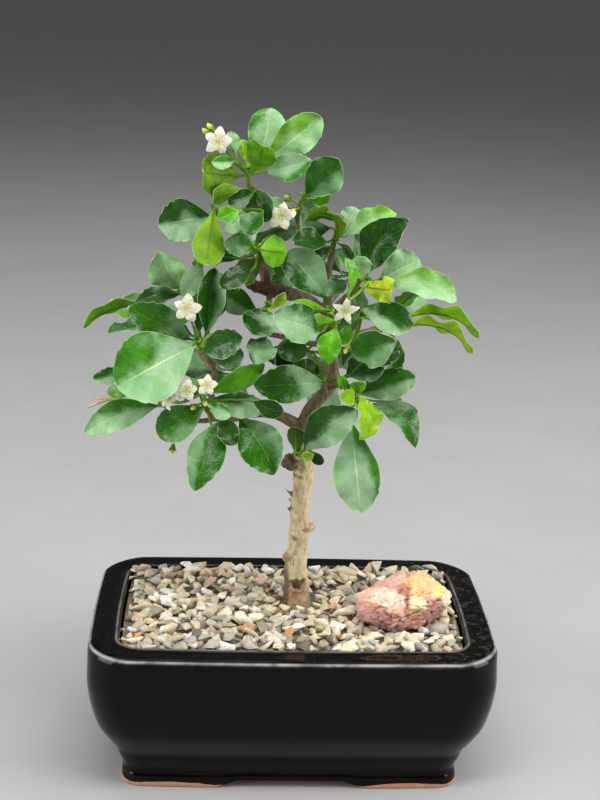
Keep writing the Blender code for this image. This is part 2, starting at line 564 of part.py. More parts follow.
def face_islands(work):
    """Return the faces of a bmesh grouped by what hangs together."""
    left = set(work.faces)
    islands = []
    while left:
        seed = left.pop()
        island = [seed]
        queue = [seed]
        while queue:
            face = queue.pop()
            for edge in face.edges:
                for near in edge.link_faces:
                    if near in left:
                        left.remove(near)
                        island.append(near)
                        queue.append(near)
        islands.append(island)
    return islands


def ring(inset, z, clearance=0.0):
    """Return one level outline of the pot: a rectangle with round corners and bowed sides.

    Args:
        inset: Millimetres inside the rim's outer edge.
        z: Height in millimetres.
        clearance: Extra inset in millimetres.

    Returns:
        Points in metres, counter-clockwise from above.
    """
    half_x = POT_LENGTH / 2 - inset - clearance - SIDE_BOW
    half_y = POT_DEPTH / 2 - inset - clearance - SIDE_BOW
    corner = max(4.0, RIM_CORNER - 0.6 * inset)
    steps = 3
    flat_x = half_x - corner
    flat_y = half_y - corner
    outline = []
    for quarter in range(4):
        sign_x = (1, -1, -1, 1)[quarter]
        sign_y = (1, 1, -1, -1)[quarter]
        for step in range(steps + 1):
            angle = math.radians(90.0 * quarter + 90.0 * step / steps)
            point = (sign_x * flat_x + corner * math.cos(angle), sign_y * flat_y + corner * math.sin(angle))
            outline.append(point)
        if quarter % 2 == 0:
            outline.extend((sign_x * flat_x * share, sign_y * half_y) for share in (0.5, 0.0, -0.5))
        else:
            outline.append((sign_x * half_x, 0.0))
    points = []
    for x, y in outline:
        bow_x = SIDE_BOW * (1.0 - (y / half_y) ** 2) * x / half_x
        bow_y = SIDE_BOW * (1.0 - (x / half_x) ** 2) * y / half_y
        points.append(Vector((x + bow_x, y + bow_y, z)) * MM)
    return points


def loft(rings):
    """Return a closed shape through rings of equally many points, capped at both ends."""
    shape = Shape()
    count = len(rings[0])
    for level in rings:
        shape.points.extend(level)
    for level in range(len(rings) - 1):
        low = level * count
        for index in range(count):
            after = (index + 1) % count
            shape.faces.append((low + index, low + after, low + count + after, low + count + index))
    shape.faces.append(tuple(reversed(range(count))))
    shape.faces.append(tuple(range(len(shape.points) - count, len(shape.points))))
    return shape


def prism(outline, low, high, axis):
    """Return a prism of a flat outline, in millimetres, along X, Y or Z."""
    rings = []
    for reach in (low, high):
        if axis == "X":
            rings.append([Vector((reach, a, b)) * MM for a, b in outline])
        elif axis == "Y":
            rings.append([Vector((a, reach, b)) * MM for a, b in outline])
        else:
            rings.append([Vector((a, b, reach)) * MM for a, b in outline])
    return loft(rings)


def circle(centre_x, centre_y, radius, sides):
    """Return a regular outline in millimetres."""
    turns = [2.0 * math.pi * (index + 0.5) / sides for index in range(sides)]
    return [(centre_x + radius * math.cos(turn), centre_y + radius * math.sin(turn)) for turn in turns]


def foot_arch(half):
    """Return the outline of the gap between two feet, from below the pot up to its crown."""
    rise = ARCH_HEIGHT
    return [
        (-half, -2.0), (half, -2.0), (half, 0.0), (half - 3.0, 0.55 * rise), (half - 8.0, 0.95 * rise),
        (0.0, rise), (8.0 - half, 0.95 * rise), (3.0 - half, 0.55 * rise), (-half, 0.0),
    ]


def build_pot(glaze):
    """Build the fired pot: walls, flat rim, foot skirt with arches and drain holes."""
    underside = [(FOOT_UNDERSIDE, 21.2), (0.0, 20.6)]
    rings = [ring(inset, z) for z, inset in underside]
    rings.extend(ring(inset, z) for z, inset in POT_OUTSIDE)
    rings.extend(ring(inset, z) for z, inset in POT_INSIDE)
    rings.append(ring(20.0, FLOOR_TOP))
    pot = add_object("pot", loft(rings), glaze)
    cutters = [
        add_object("arch_long", prism(foot_arch(ARCH_HALF_LONG), -60.0, 60.0, "Y"), glaze),
        add_object("arch_short", prism(foot_arch(ARCH_HALF_SHORT), -90.0, 90.0, "X"), glaze),
    ]
    for side in (-1, 1):
        hole = circle(side * DRAIN_X, 0.0, DRAIN_RADIUS, 12)
        cutters.append(add_object("drain", prism(hole, 2.0, 14.0, "Z"), glaze))
    for cutter in cutters:
        combine(pot, [cutter], "DIFFERENCE")
    pot.data.shade_smooth()
    pot.data.set_sharp_from_angle(angle=math.radians(40))
    return pot


def square(centre_x, centre_y, size):
    """Return a square outline in millimetres."""
    half = size / 2
    return [
        (centre_x - half, centre_y - half), (centre_x + half, centre_y - half),
        (centre_x + half, centre_y + half), (centre_x - half, centre_y + half),
    ]


def build_screen(name, side, plastic):
    """Build the mesh that keeps the soil from a drain hole."""
    low = FLOOR_TOP + GAP
    sheet = prism(square(side * DRAIN_X, 0.0, SCREEN_SIZE), low, low + SCREEN_THICKNESS, "Z")
    plate = add_object(name, sheet, plastic)
    holes = []
    for column in (-0.5, 0.5):
        for row in (-0.5, 0.5):
            place = square(side * DRAIN_X + column * SCREEN_PITCH, row * SCREEN_PITCH, SCREEN_HOLE)
            holes.append(add_object("hole", prism(place, low - 1.0, low + 2.0, "Z"), plastic))
    combine(plate, holes, "DIFFERENCE")
    return plate


def build_soil(earth):
    """Build the soil that fills the pot, with a hole for the stem's foot and room for the screens."""
    levels = ((SOIL_TOP, RIM_WIDTH + 0.7), (42.0, 10.2), (25.0, 12.4), (12.0, 18.5), (FLOOR_TOP + GAP, 20.0))
    rings = [ring(inset, z, FILL_CLEARANCE) for z, inset in reversed(levels)]
    soil = add_object("soil", loft(rings), earth)
    hole = prism(
        circle(TRUNK_X, TRUNK_Y, FOOT_RADIUS + 2 * GAP, FOOT_SIDES), FOOT_BOTTOM - GAP, SOIL_TOP + 5.0, "Z",
    )
    cutters = [add_object("foot_hole", hole, earth)]
    for side in (-1, 1):
        recess = square(side * DRAIN_X, 0.0, SCREEN_SIZE + 2 * GAP)
        top = FLOOR_TOP + SCREEN_THICKNESS + 2 * GAP
        cutters.append(add_object("recess", prism(recess, FLOOR_TOP - 2.0, top, "Z"), earth))
    combine(soil, cutters, "DIFFERENCE")
    return soil


def pebble_relief():
    """Return a slab whose top is a field of faceted pebbles, wider than the pot."""
    draw = random.Random(11)
    rows = 14
    columns = 22
    rise = PEBBLE_PITCH * math.sqrt(0.75)
    centres = {}
    for row in range(-rows // 2, rows // 2 + 2):
        for column in range(-columns // 2, columns // 2 + 2):
            x = (column + 0.5 * (row % 2)) * PEBBLE_PITCH + draw.uniform(-1.1, 1.1)
            y = row * rise + draw.uniform(-1.1, 1.1)
            centres[(row, column)] = Vector((x, y, draw.uniform(0.9, 2.9)))
    shape = Shape()
    index_of = {}

    def point(key, place):
        """Return the index of a point, adding it the first time."""
        if key not in index_of:
            index_of[key] = len(shape.points)
            heap = GRAVEL_HEAP * math.exp(-(((place.x - TRUNK_X) / 45.0) ** 2 + (place.y / 32.0) ** 2))
            shape.points.append(Vector((place.x, place.y, GRAVEL_TOP + heap + place.z)) * MM)
        return index_of[key]

    def valley(keys):
        """Return the index of the low point between three pebbles."""
        place = sum((centres[key] for key in keys), Vector()) / 3.0
        place.z = -1.3
        return point(tuple(sorted(keys)), place)

    for (row, column), centre in centres.items():
        shift = row % 2
        around = (
            (row, column + 1), (row + 1, column + shift), (row + 1, column + shift - 1),
            (row, column - 1), (row - 1, column + shift - 1), (row - 1, column + shift),
        )
        if any(key not in centres for key in around):
            continue
        top = point((row, column), centre)
        lows = [valley([(row, column), around[k], around[(k + 1) % 6]]) for k in range(6)]
        for k in range(6):
            shape.faces.append((top, lows[k], lows[(k + 1) % 6]))
    return shape


def build_gravel(pebbles, stone):
    """Build the gravel layer: pebble relief trimmed to the pot, open round the stem and the stone."""
    shape = pebble_relief()
    mesh = bpy.data.meshes.new("gravel")
    mesh.from_pydata([tuple(p) for p in shape.points], [], shape.faces)
    work = bmesh.new()
    work.from_mesh(mesh)
    grown = bmesh.ops.extrude_face_region(work, geom=work.faces[:])
    for item in grown["geom"]:
        if isinstance(item, bmesh.types.BMVert):
            item.co.z = GRAVEL_BOTTOM * MM
    bmesh.ops.recalc_face_normals(work, faces=work.faces)
    work.to_mesh(mesh)
    work.free()
    mesh.materials.append(pebbles)
    gravel = bpy.data.objects.new("gravel", mesh)
    bpy.context.scene.collection.objects.link(gravel)
    inset = RIM_WIDTH + 0.7
    levels = (GRAVEL_BOTTOM, GRAVEL_TOP + 9.0)
    bounds = loft([ring(inset, level, FILL_CLEARANCE) for level in levels])
    combine(gravel, [add_object("pot_inside", bounds, pebbles)], "INTERSECT")
    hole = prism(
        circle(TRUNK_X, TRUNK_Y, FOOT_RADIUS + 2 * GAP, FOOT_SIDES), GRAVEL_BOTTOM - 5.0, GRAVEL_TOP + 9.0, "Z",
    )
    combine(gravel, [add_object("foot_hole", hole, pebbles)], "DIFFERENCE")
    seat = stone.copy()
    seat.data = stone.data.copy()
    seat.name = "stone_seat"
    centre = STONE_CENTRE * MM
    room = Vector([1.0 + 2.2 * GAP / half for half in STONE_HALF])
    for vertex in seat.data.vertices:
        vertex.co = centre + (vertex.co - centre) * room
    for vertex in seat.data.vertices:
        vertex.co.z = max(vertex.co.z, (STONE_BASE - GAP) * MM)
    bpy.context.scene.collection.objects.link(seat)
    combine(gravel, [seat], "DIFFERENCE")
    tidy_union(gravel)
    return gravel


def build_stone(look):
    """Build the accent stone: a lumpy two-lobed pebble with a flat underside."""
    work = bmesh.new()
    bmesh.ops.create_icosphere(work, subdivisions=2, radius=1.0)
    for vertex in work.verts:
        way = vertex.co.normalized()
        lumps = 0.06 * math.sin(4.1 * way.x + 1.0) + 0.05 * math.sin(5.3 * way.y - 2.0 * way.z)
        crevice = 0.16 * math.exp(-((way.x + 0.02 + 0.2 * way.z) / 0.16) ** 2) * max(0.0, 0.4 - way.y)
        size = 1.0 + lumps - crevice
        shoulder = 1.0 - 0.16 * max(0.0, -way.x)
        half = Vector((STONE_HALF.x, STONE_HALF.y, STONE_HALF.z * shoulder))
        vertex.co = (way * half * size + STONE_CENTRE + STONE_SLANT * way.x) * MM
        vertex.co.z = max(vertex.co.z, STONE_BASE * MM)
    bmesh.ops.dissolve_degenerate(work, edges=work.edges, dist=0.00001)
    bmesh.ops.recalc_face_normals(work, faces=work.faces)
    mesh = bpy.data.meshes.new("accent_stone")
    work.to_mesh(mesh)
    work.free()
    mesh.materials.append(look)
    stone = bpy.data.objects.new("accent_stone", mesh)
    bpy.context.scene.collection.objects.link(stone)
    return stone


def tube(path, radii, sides, first_way=None):
    """Return a closed tapering tube along points.

    Args:
        path: Points in metres.
        radii: A radius in millimetres for each point.
        sides: Number of sides.
        first_way: Direction that the first end squares up to, or None for the path's own.

    Returns:
        The tube as a Shape.
    """
    ways = []
    for index in range(len(path)):
        before = path[max(0, index - 1)]
        after = path[min(len(path) - 1, index + 1)]
        ways.append((after - before).normalized())
    if first_way is not None:
        ways[0] = first_way
    side = ways[0].orthogonal().normalized()
    rings = []
    for point, radius, way in zip(path, radii, ways):
        side = (side - way * side.dot(way)).normalized()
        across = way.cross(side)
        outline = []
        for index in range(sides):
            turn = 2.0 * math.pi * index / sides
            outline.append(point + (side * math.cos(turn) + across * math.sin(turn)) * radius * MM)
        rings.append(outline)
    return loft(rings)


def wood_path(name):
    """Return a branch's points in metres and its radii in millimetres."""
    points = [seen(x, z, depth) for x, z, depth, _ in WOOD[name]]
    radii = [radius for _, _, _, radius in WOOD[name]]
    return points, radii


def build_trunk(bark):
    """Build the woody plant as one grown piece, with its foot in the soil."""
    foot = prism(circle(TRUNK_X, TRUNK_Y, FOOT_RADIUS, FOOT_SIDES), FOOT_BOTTOM, FOOT_TOP, "Z")
    trunk = add_object("trunk", foot, bark)
    branches = []
    for name in WOOD:
        points, radii = wood_path(name)
        sides = 9 if name == "stem" else 5
        branches.append(add_object("wood_" + name, tube(points, radii, sides), bark))
    combine(trunk, branches, "UNION")
    tidy_union(trunk)
    trunk.data.shade_smooth()
    trunk.data.set_sharp_from_angle(angle=math.radians(50))
    return trunk


def half_width(share, keen):
    """Return a blade's half width at a share of its length, as a share of the widest.

    Args:
        share: Share of the length.
        keen: How pointed the outline is, from 0 to 1.
    """
    widest = BLADE_WIDEST - 0.16 * keen
    if share <= widest:
        return BLADE_FULLNESS * (0.07 + 0.93 * math.sin(0.5 * math.pi * share / widest) ** 1.15)
    return BLADE_FULLNESS * (1.0 - ((share - widest) / (1.0 - widest)) ** 2.2) ** (0.6 + 0.35 * keen)


def blade_stations(area):
    """Return the shares of a blade's length that get a row of points, for its size."""
    if area > LARGE_BLADE:
        return LARGE_STATIONS
    if area < SMALL_BLADE:
        return SMALL_STATIONS
    return BLADE_STATIONS


def stalk_rows(root, base, along, across, up, grown):
    """Return a leaf stalk's rows of points, upper and under side, from its twig to the blade.

    Args:
        root: Where it leaves the twig, in metres.
        base: Where the blade starts.
        along: Direction of the blade.
        across: Direction across the blade.
        up: Direction that the upper face looks in.
        grown: Millimetres that it is thickened.

    Returns:
        One (upper, under) pair of two-point rows for each place, root first.
    """
    run = base - root
    knee = base - along * min(0.5 * run.length, 3.0 * MM)
    shares = (0.0, 1.0) if run.length < STALK_STRAIGHT * MM else (0.0, 0.55, 1.0)
    rows = []
    way = along
    for share in reversed(shares):
        place = root.lerp(knee, share).lerp(knee.lerp(base, share), share)
        onward = (root.lerp(knee, share) - knee.lerp(base, share)).normalized() * -1.0
        turn = way.rotation_difference(onward)
        across = turn @ across
        up = turn @ up
        way = onward
        side = across * (STALK_HALF_WIDTH + grown) * MM
        lift = up * (STALK_HALF_THICKNESS + grown) * MM
        rows.append(([place - side + lift, place + side + lift], [place - side - lift, place + side - lift]))
    rows.reverse()
    return rows


def blade(root, base, tip, normal, leaf, grown=0.0):
    """Return a leaf with its stalk: two equal skins over a folded, arched outline.

    Args:
        root: Where the stalk leaves the twig, in metres.
        base: Where the blade starts.
        tip: Where it ends.
        normal: Direction that its upper face looks in.
        leaf: The leaf's width, arch and fold.
        grown: Millimetres that it is thickened and widened, to keep room round it.

    Returns:
        The leaf as a Shape.
    """
    chord = tip - base
    length = chord.length
    along = chord.normalized()
    up = (normal - along * normal.dot(along)).normalized()
    across = along.cross(up)
    rise = math.tan(math.radians(leaf.fold))
    stalk = stalk_rows(root, base, along, across, up, grown)
    middle = []
    for share in blade_stations(leaf.width * length / MM):
        half = leaf.width * 0.5 * half_width(share, leaf.keen) + grown
        bow = 4.0 * share * (1.0 - share) * length
        spine = base + chord * share + (up * leaf.arch + across * leaf.bend) * bow
        middle.append([spine + (across * side + up * abs(side) * rise) * half * MM for side in (-1, 0, 1)])
    middle.append([tip + along * grown * MM])
    upper, under = thickened([stalk[-1]], middle, grown)
    upper = [row for row, _ in stalk] + upper
    under = [row for _, row in stalk] + under
    return two_skins(upper, under)


def thickened(first, middle, grown):
    """Return a blade's upper and under rows, set off from its middle surface.

    Args:
        first: The row, as a pair of upper and under points, that the blade grows from.
        middle: Rows of points on the blade's middle surface.
        grown: Millimetres added to its thickness on each side.
    """
    start = [(a + b) * 0.5 for a, b in zip(*first[0])]
    rows = [start] + middle
    points = [point for row in rows for point in row]
    offsets = skin_offsets(points, skin_faces(rows))
    thick = (BLADE_HALF_THICKNESS + grown) * MM
    upper = []
    under = []
    index = len(start)
    for row in middle:
        near = offsets[index:index + len(row)]
        upper.append([point + offset * thick for point, offset in zip(row, near)])
        under.append([point - offset * thick for point, offset in zip(row, near)])
        index += len(row)
    return upper, under


def skin_faces(rows):
    """Return triangles that join rows of one, two or three points, one row to the next."""
    faces = []
    first = 0
    for row, after in zip(rows, rows[1:]):
        second = first + len(row)
        if len(row) == 2 and len(after) == 2:
            faces += [(first, first + 1, second + 1), (first, second + 1, second)]
        elif len(row) == 2:
            faces += [(first, first + 1, second + 1), (first, second + 1, second)]
            faces += [(first + 1, second + 2, second + 1)]
        elif len(after) == 3:
            faces += [(first, first + 1, second + 1), (first, second + 1, second)]
            faces += [(first + 1, first + 2, second + 2), (first + 1, second + 2, second + 1)]
        else:
            faces += [(first, first + 1, second), (first + 1, first + 2, second)]
        first = second
    return faces


def two_skins(upper, under):
    """Return the closed shape between an upper and an under skin of equal rows."""
    shape = Shape([point for row in upper for point in row] + [point for row in under for point in row])
    skin = skin_faces(upper)
    below = sum(len(row) for row in upper)
    shape.faces = list(skin) + [(c + below, b + below, a + below) for a, b, c in skin]
    left = []
    right = []
    first = 0
    for row in upper:
        left.append(first)
        right.append(first + len(row) - 1)
        first += len(row)
    edge = right + left[-2::-1]
    for here, there in zip(edge, edge[1:] + edge[:1]):
        shape.faces.append((there, here, here + below))
        shape.faces.append((there, here + below, there + below))
    return shape


def skin_offsets(points, faces):
    """Return an offset direction for each point, long enough to keep the skin's thickness."""
    normals = []
    for a, b, c in faces:
        normals.append((points[b] - points[a]).cross(points[c] - points[a]).normalized())
    around = [[] for _ in points]
    for face, normal in zip(faces, normals):
        for corner in face:
            around[corner].append(normal)
    offsets = []
    for near in around:
        mean = sum(near, Vector()).normalized()
        least = min(mean.dot(normal) for normal in near)
        offsets.append(mean / max(0.6, least))
    return offsets


def upper_normal(base, tip, roll):
    """Return where a leaf's upper face looks, from the turn that the viewer sees."""
    along = (tip - base).normalized()
    towards = (EYE * MM - (base + tip) * 0.5).normalized()
    facing = (towards - along * towards.dot(along)).normalized()
    return Quaternion(along, math.radians(roll)) @ facing


def corolla(centre, way, radius):
    """Return an open flower: five petals round a throat and the short tube behind them."""
    side = way.orthogonal().normalized()
    across = way.cross(side)

    def place(turn, reach, lift):
        """Return a point of the flower."""
        out = side * math.cos(turn) + across * math.sin(turn)
        return centre + (out * reach + way * lift) * MM

    outline = []
    for petal in range(PETALS):
        middle = 2.0 * math.pi * petal / PETALS
        for turn, reach, lift in PETAL_OUTLINE:
            outline.append(place(middle + turn, radius * reach, lift))
    shape = Shape([centre - way * 0.3 * MM] + outline)
    shape.points += [point - way * PETAL_THICKNESS * MM for point in outline]
    count = len(outline)
    per_petal = len(PETAL_OUTLINE)
    neck = len(shape.points)
    for reach, lift in ((TUBE_RADIUS, -PETAL_THICKNESS - 0.5), (TUBE_RADIUS * 0.9, -TUBE_LENGTH)):
        for petal in range(PETALS):
            middle = 2.0 * math.pi * petal / PETALS
            shape.points.append(place(middle + PETAL_OUTLINE[0][0], reach, lift))
    for index in range(count):
        here = 1 + index
        there = 1 + (index + 1) % count
        petal = index // per_petal
        shape.faces.append((0, here, there))
        shape.faces.append((here, here + count, there + count))
        shape.faces.append((here, there + count, there))
        shape.faces.append((neck + petal, there + count, here + count))
    for petal in range(PETALS):
        after = (petal + 1) % PETALS
        shape.faces.append((neck + petal, neck + after, 1 + count + after * per_petal))
        shape.faces.append((neck + petal, neck + PETALS + petal, neck + PETALS + after, neck + after))
    shape.faces.append(tuple(neck + PETALS + petal for petal in range(PETALS)))
    return shape


def take(owner, kind, shape):
    """Return the room that a shape fills."""
    xs = [p.x for p in shape.points]
    ys = [p.y for p in shape.points]
    zs = [p.z for p in shape.points]
    tree = BVHTree.FromPolygons(shape.points, shape.faces)
    return Taken(owner, kind, tree, Vector((min(xs), min(ys), min(zs))), Vector((max(xs), max(ys), max(zs))))


def clashes(room, taken):
    """Return whether some room is filled already.

    Args:
        room: Room that is wanted. As a "blade" it is held against the owner's own blades,
            otherwise against all that other owners have grown.
        taken: All rooms that are filled.
    """
    for other in taken:
        if (other.owner == room.owner) != (room.kind == "blade"):
            continue
        if room.kind == "blade" and other.kind != "blade":
            continue
        apart = any(room.low[k] > other.high[k] or room.high[k] < other.low[k] for k in range(3))
        if not apart and room.tree.overlap(other.tree):
            return True
    return False


def root_on(path, point, number):
    """Return where the stalk of a numbered leaf leaves a twig: near the point, clear of its ends."""
    runs = [end - start for start, end in zip(path, path[1:])]
    total = sum(run.length for run in runs)
    best = None
    reached = 0.0
    for start, run in zip(path, runs):
        share = max(0.0, min(1.0, (point - start).dot(run) / run.length_squared))
        away = (start + run * share - point).length
        if best is None or away < best[0]:
            best = (away, reached + run.length * share)
        reached += run.length
    margin = min(ROOT_MARGIN * MM, 0.45 * total)
    along = best[1] + (0.618 * number % 1.0 - 0.5) * ROOT_SPREAD * MM
    along = max(margin, min(total - margin, along))
    for start, run in zip(path, runs):
        if along <= run.length:
            return start + run.normalized() * along
        along -= run.length
    return path[-1]


def crosses_itself(shape):
    """Return whether faces of a shape that share no point cut each other."""
    tree = BVHTree.FromPolygons(shape.points, shape.faces)
    return any(not set(shape.faces[a]) & set(shape.faces[b]) for a, b in tree.overlap(tree))


def fit_blade(owner, base, tip, normal, leaf, path, number, taken):
    """Return a leaf and its blade alone where it keeps clear of everything, or None."""
    root = root_on(path, base, number)
    shape = blade(root, base, tip, normal, leaf)
    if crosses_itself(shape):
        return None
    guard = blade(root, base, tip, normal, leaf, GUARD_GROWTH)
    lone_guard = blade(base.lerp(tip, -0.04), base, tip, normal, leaf, GUARD_GROWTH)
    if clashes(take(owner, "leaf", guard), taken) or clashes(take(owner, "blade", lone_guard), taken):
        return None
    return shape, blade(base.lerp(tip, -0.04), base, tip, normal, leaf)


def place_leaf(owner, leaf, path, number, taken):
    """Return a seen leaf, bent along the lines of sight until it is clear, or None."""
    for share in BASE_SHARES:
        for shift in DEPTH_SHIFTS:
            base = seen(leaf.base[0], leaf.base[1], leaf.base[2] + shift * share)
            tip = seen(leaf.tip[0], leaf.tip[1], leaf.tip[2] + shift)
            up = upper_normal(base, tip, leaf.roll)
            found = fit_blade(owner, base, tip, up, leaf, path, number, taken)
            if found:
                return found
    return None


def in_crown(point):
    """Return whether a point, in metres, is seen inside the crown's outline and outside its windows."""
    eye = EYE * MM
    place = eye + (point - eye) * (-eye.y / (point.y - eye.y))
    x = place.x / MM
    z = place.z / MM
    if any(math.hypot(x - cx, z - cz) < radius for cx, cz, radius in CROWN_WINDOWS):
        return False
    inside = False
    for (ax, az), (bx, bz) in zip(CROWN_OUTLINE, CROWN_OUTLINE[1:] + CROWN_OUTLINE[:1]):
        if (az > z) != (bz > z) and x < ax + (z - az) * (bx - ax) / (bz - az):
            inside = not inside
    return inside


def shown_points(shape, shades):
    """Return how many of a shape's points the viewer sees past the leaves in front."""
    eye = EYE * MM
    shown = 0
    for point in shape.points:
        way = point - eye
        shown += not any(shade.tree.ray_cast(eye, way, way.length)[0] for shade in shades)
    return shown


def place_behind(spray, path, taken, shades):
    """Return leaves behind the front ones, inside the crown's outline, where they fill most gaps.

    Args:
        spray: The spray that carries them.
        path: Its twig in metres.
        taken: Rooms that are filled, to which the new leaves are added.
        shades: Rooms of all the leaves so far, to which the new ones are added.

    Returns:
        The leaves as Shapes.
    """
    draw = random.Random(spray.name)
    found = []
    for number in range(spray.behind):
        best = None
        for attempt in range(TRIES_PER_LEAF):
            turn = draw.uniform(0.0, 2.0 * math.pi)
            way = Vector((math.cos(turn), math.sin(turn) * 0.7, draw.uniform(-0.9, 0.9))).normalized()
            root = path[0].lerp(path[-1], draw.uniform(0.2, 1.0))
            base = root + way * draw.uniform(2.5, 6.0) * MM
            length = draw.uniform(15.0, 26.0)
            tip = base + (way * length + Vector((0.0, 0.0, -0.12 * length))) * MM
            leaf = Leaf((), (), length * draw.uniform(0.45, 0.58), arch=draw.uniform(0.06, 0.12), fold=12.0)
            normal = Vector((way.x * 0.3, draw.uniform(-1.1, 0.2), 1.0))
            fitted = fit_blade(spray.name, base, tip, normal, leaf, path, number, taken)
            if not fitted or tip.y > BACK_LIMIT * MM or not all(in_crown(p) for p in fitted[0].points):
                continue
            shown = shown_points(fitted[1], shades)
            if best is None or shown > best[0]:
                best = (shown, fitted)
        if best:
            found.append(best[1][0])
            shades.append(take(spray.name, "leaf", best[1][0]))
            taken.append(shades[-1])
            taken.append(take(spray.name, "blade", best[1][1]))
    return found


def flower_way(flower):
    """Return where a flower looks: towards the viewer unless it says otherwise."""
    way = Vector(flower.facing)
    if way.length == 0.0:
        way = EYE * MM - seen(*flower.centre)
    return way.normalized()


def flower_stalk(flower, path, number):
    """Return the stalk and cup that hold a flower, ending short of its tube."""
    way = flower_way(flower)
    end = seen(*flower.centre) - way * (TUBE_LENGTH + GAP) * MM
    neck = end - way * 2.0 * MM
    root = root_on(path, neck, number)
    bend = root.lerp(neck, 0.6) - way * 0.8 * MM
    return tube([root, bend, neck, end], [0.65, 0.55, 0.6, 1.15], 4)


def bud_stalk(bud, path, number):
    """Return a bud with the stalk that holds it."""
    centre = seen(*bud)
    root = root_on(path, centre, number)
    way = (centre - root).normalized()
    half = way * BUD_LENGTH * 0.5 * MM
    places = [root, centre - half, centre - half * 0.3, centre + half * 0.5, centre + half]
    return tube(places, [0.65, 0.5, BUD_RADIUS, 0.8 * BUD_RADIUS, 0.2], 4)


def twig_path(spray):
    """Return a spray's twig in metres, starting a gap past its woody tip, and its first direction."""
    points, _ = wood_path(spray.wood)
    way = (points[-1] - points[-2]).normalized()
    return [points[-1] + way * GAP * MM] + [seen(*place) for place in spray.path], way


def build_crown(twigs, white):
    """Build every spray and flower, one after another, each clear of what is there already.

    Args:
        twigs: Material of the green growth.
        white: Material of the petals.
    """
    taken = []
    for name in WOOD:
        points, radii = wood_path(name)
        taken.append(take("trunk", "wood", tube(points, radii, 6)))
    paths = {}
    pieces = {}
    for spray in SPRAYS:
        path, way = twig_path(spray)
        paths[spray.name] = path
        radii = [TWIG_RADIUS] * (len(path) - 1) + [TWIG_END_RADIUS]
        pieces[spray.name] = [tube(path, radii, TWIG_SIDES, way)]
        for number, flower in enumerate(spray.flowers):
            petals = corolla(seen(*flower.centre), flower_way(flower), flower.radius)
            taken.append(take("flower", "petal", petals))
            pieces[spray.name].append(flower_stalk(flower, path, number))
        for number, bud in enumerate(spray.buds):
            pieces[spray.name].append(bud_stalk(bud, path, number))
        taken.extend(take(spray.name, "stalk", piece) for piece in pieces[spray.name])
    shades = []
    for spray in SPRAYS:
        for number, leaf in enumerate(spray.leaves):
            fitted = place_leaf(spray.name, leaf, paths[spray.name], number, taken)
            if fitted is None:
                print("no room for leaf", number, "of", spray.name)
                continue
            shades.append(take(spray.name, "leaf", fitted[0]))
            taken.append(shades[-1])
            taken.append(take(spray.name, "blade", fitted[1]))
            pieces[spray.name].append(fitted[0])
    for spray in SPRAYS:
        pieces[spray.name].extend(place_behind(spray, paths[spray.name], taken, shades))
    for spray in SPRAYS:
        build_spray(spray.name, pieces[spray.name], twigs)
    number = 0
    for spray in SPRAYS:
        for flower in spray.flowers:
            number += 1
            shape = corolla(seen(*flower.centre), flower_way(flower), flower.radius)
            add_object("flower_%d" % number, shape, white)


def build_spray(name, shapes, look):
    """Join a spray's twig, stalks, buds and leaves in one body."""
    spray = add_object(name, shapes[0], look)
    others = [add_object("piece", shape, look) for shape in shapes[1:]]
    combine(spray, others, "UNION")
    print(name, "pieces", len(shapes), "loose", tidy_union(spray), "triangles", len(spray.data.polygons))
    if open_edges(spray):
        print(name, "has open edges")


def centre_on_table():
    """Move everything so that the model's box is centred over the origin and stands on Z = 0."""
    corners = [made.matrix_world @ Vector(corner) for made in bpy.data.objects for corner in made.bound_box]
    low = Vector([min(corner[k] for corner in corners) for k in range(3)])
    high = Vector([max(corner[k] for corner in corners) for k in range(3)])
    shift = Matrix.Translation((-(low.x + high.x) / 2, -(low.y + high.y) / 2, -low.z))
    for made in bpy.data.objects:
        made.matrix_world = shift @ made.matrix_world
    print("box", [round(v * 1000, 2) for v in high - low])
    print("shift", [round(v * 1000, 3) for v in shift.translation])


def main():
    """Build the whole bonsai."""
    for old in list(bpy.data.objects):
        bpy.data.objects.remove(old)
    glaze = material("black_glaze", (0.012, 0.010, 0.011), 0.12)
    plastic = material("screen_plastic", (0.02, 0.02, 0.02), 0.6)
    earth = material("soil", (0.05, 0.035, 0.022), 0.95)
    pebbles = material("pebbles", (0.55, 0.48, 0.36), 0.7)
    stone_look = material("pink_stone", (0.75, 0.42, 0.30), 0.55)
    bark = material("bark", (0.36, 0.27, 0.17), 0.85)
    green = material("leaf_green", (0.06, 0.19, 0.04), 0.35)
    white = material("petal_white", (0.9, 0.88, 0.78), 0.5)
    build_pot(glaze)
    build_screen("drain_screen_left", -1, plastic)
    build_screen("drain_screen_right", 1, plastic)
    build_soil(earth)
    stone = build_stone(stone_look)
    build_gravel(pebbles, stone)
    build_trunk(bark)
    build_crown(green, white)
    centre_on_table()


main()
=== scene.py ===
"""Looks of a flowering fukien tea bonsai in a glazed pot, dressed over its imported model.

Lengths in the tables are millimetres. Places in the crown are written as they are seen:
x and z on the upright plane through the trunk, and the depth behind that plane at which
the point lies on the same line of sight. Pieces are shaped in that frame and then moved
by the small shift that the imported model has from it.
"""

import logging
import math
import random
from collections.abc import Callable
from dataclasses import dataclass
from enum import Enum

import bmesh
import bpy
from mathutils import Matrix, Quaternion, Vector, noise

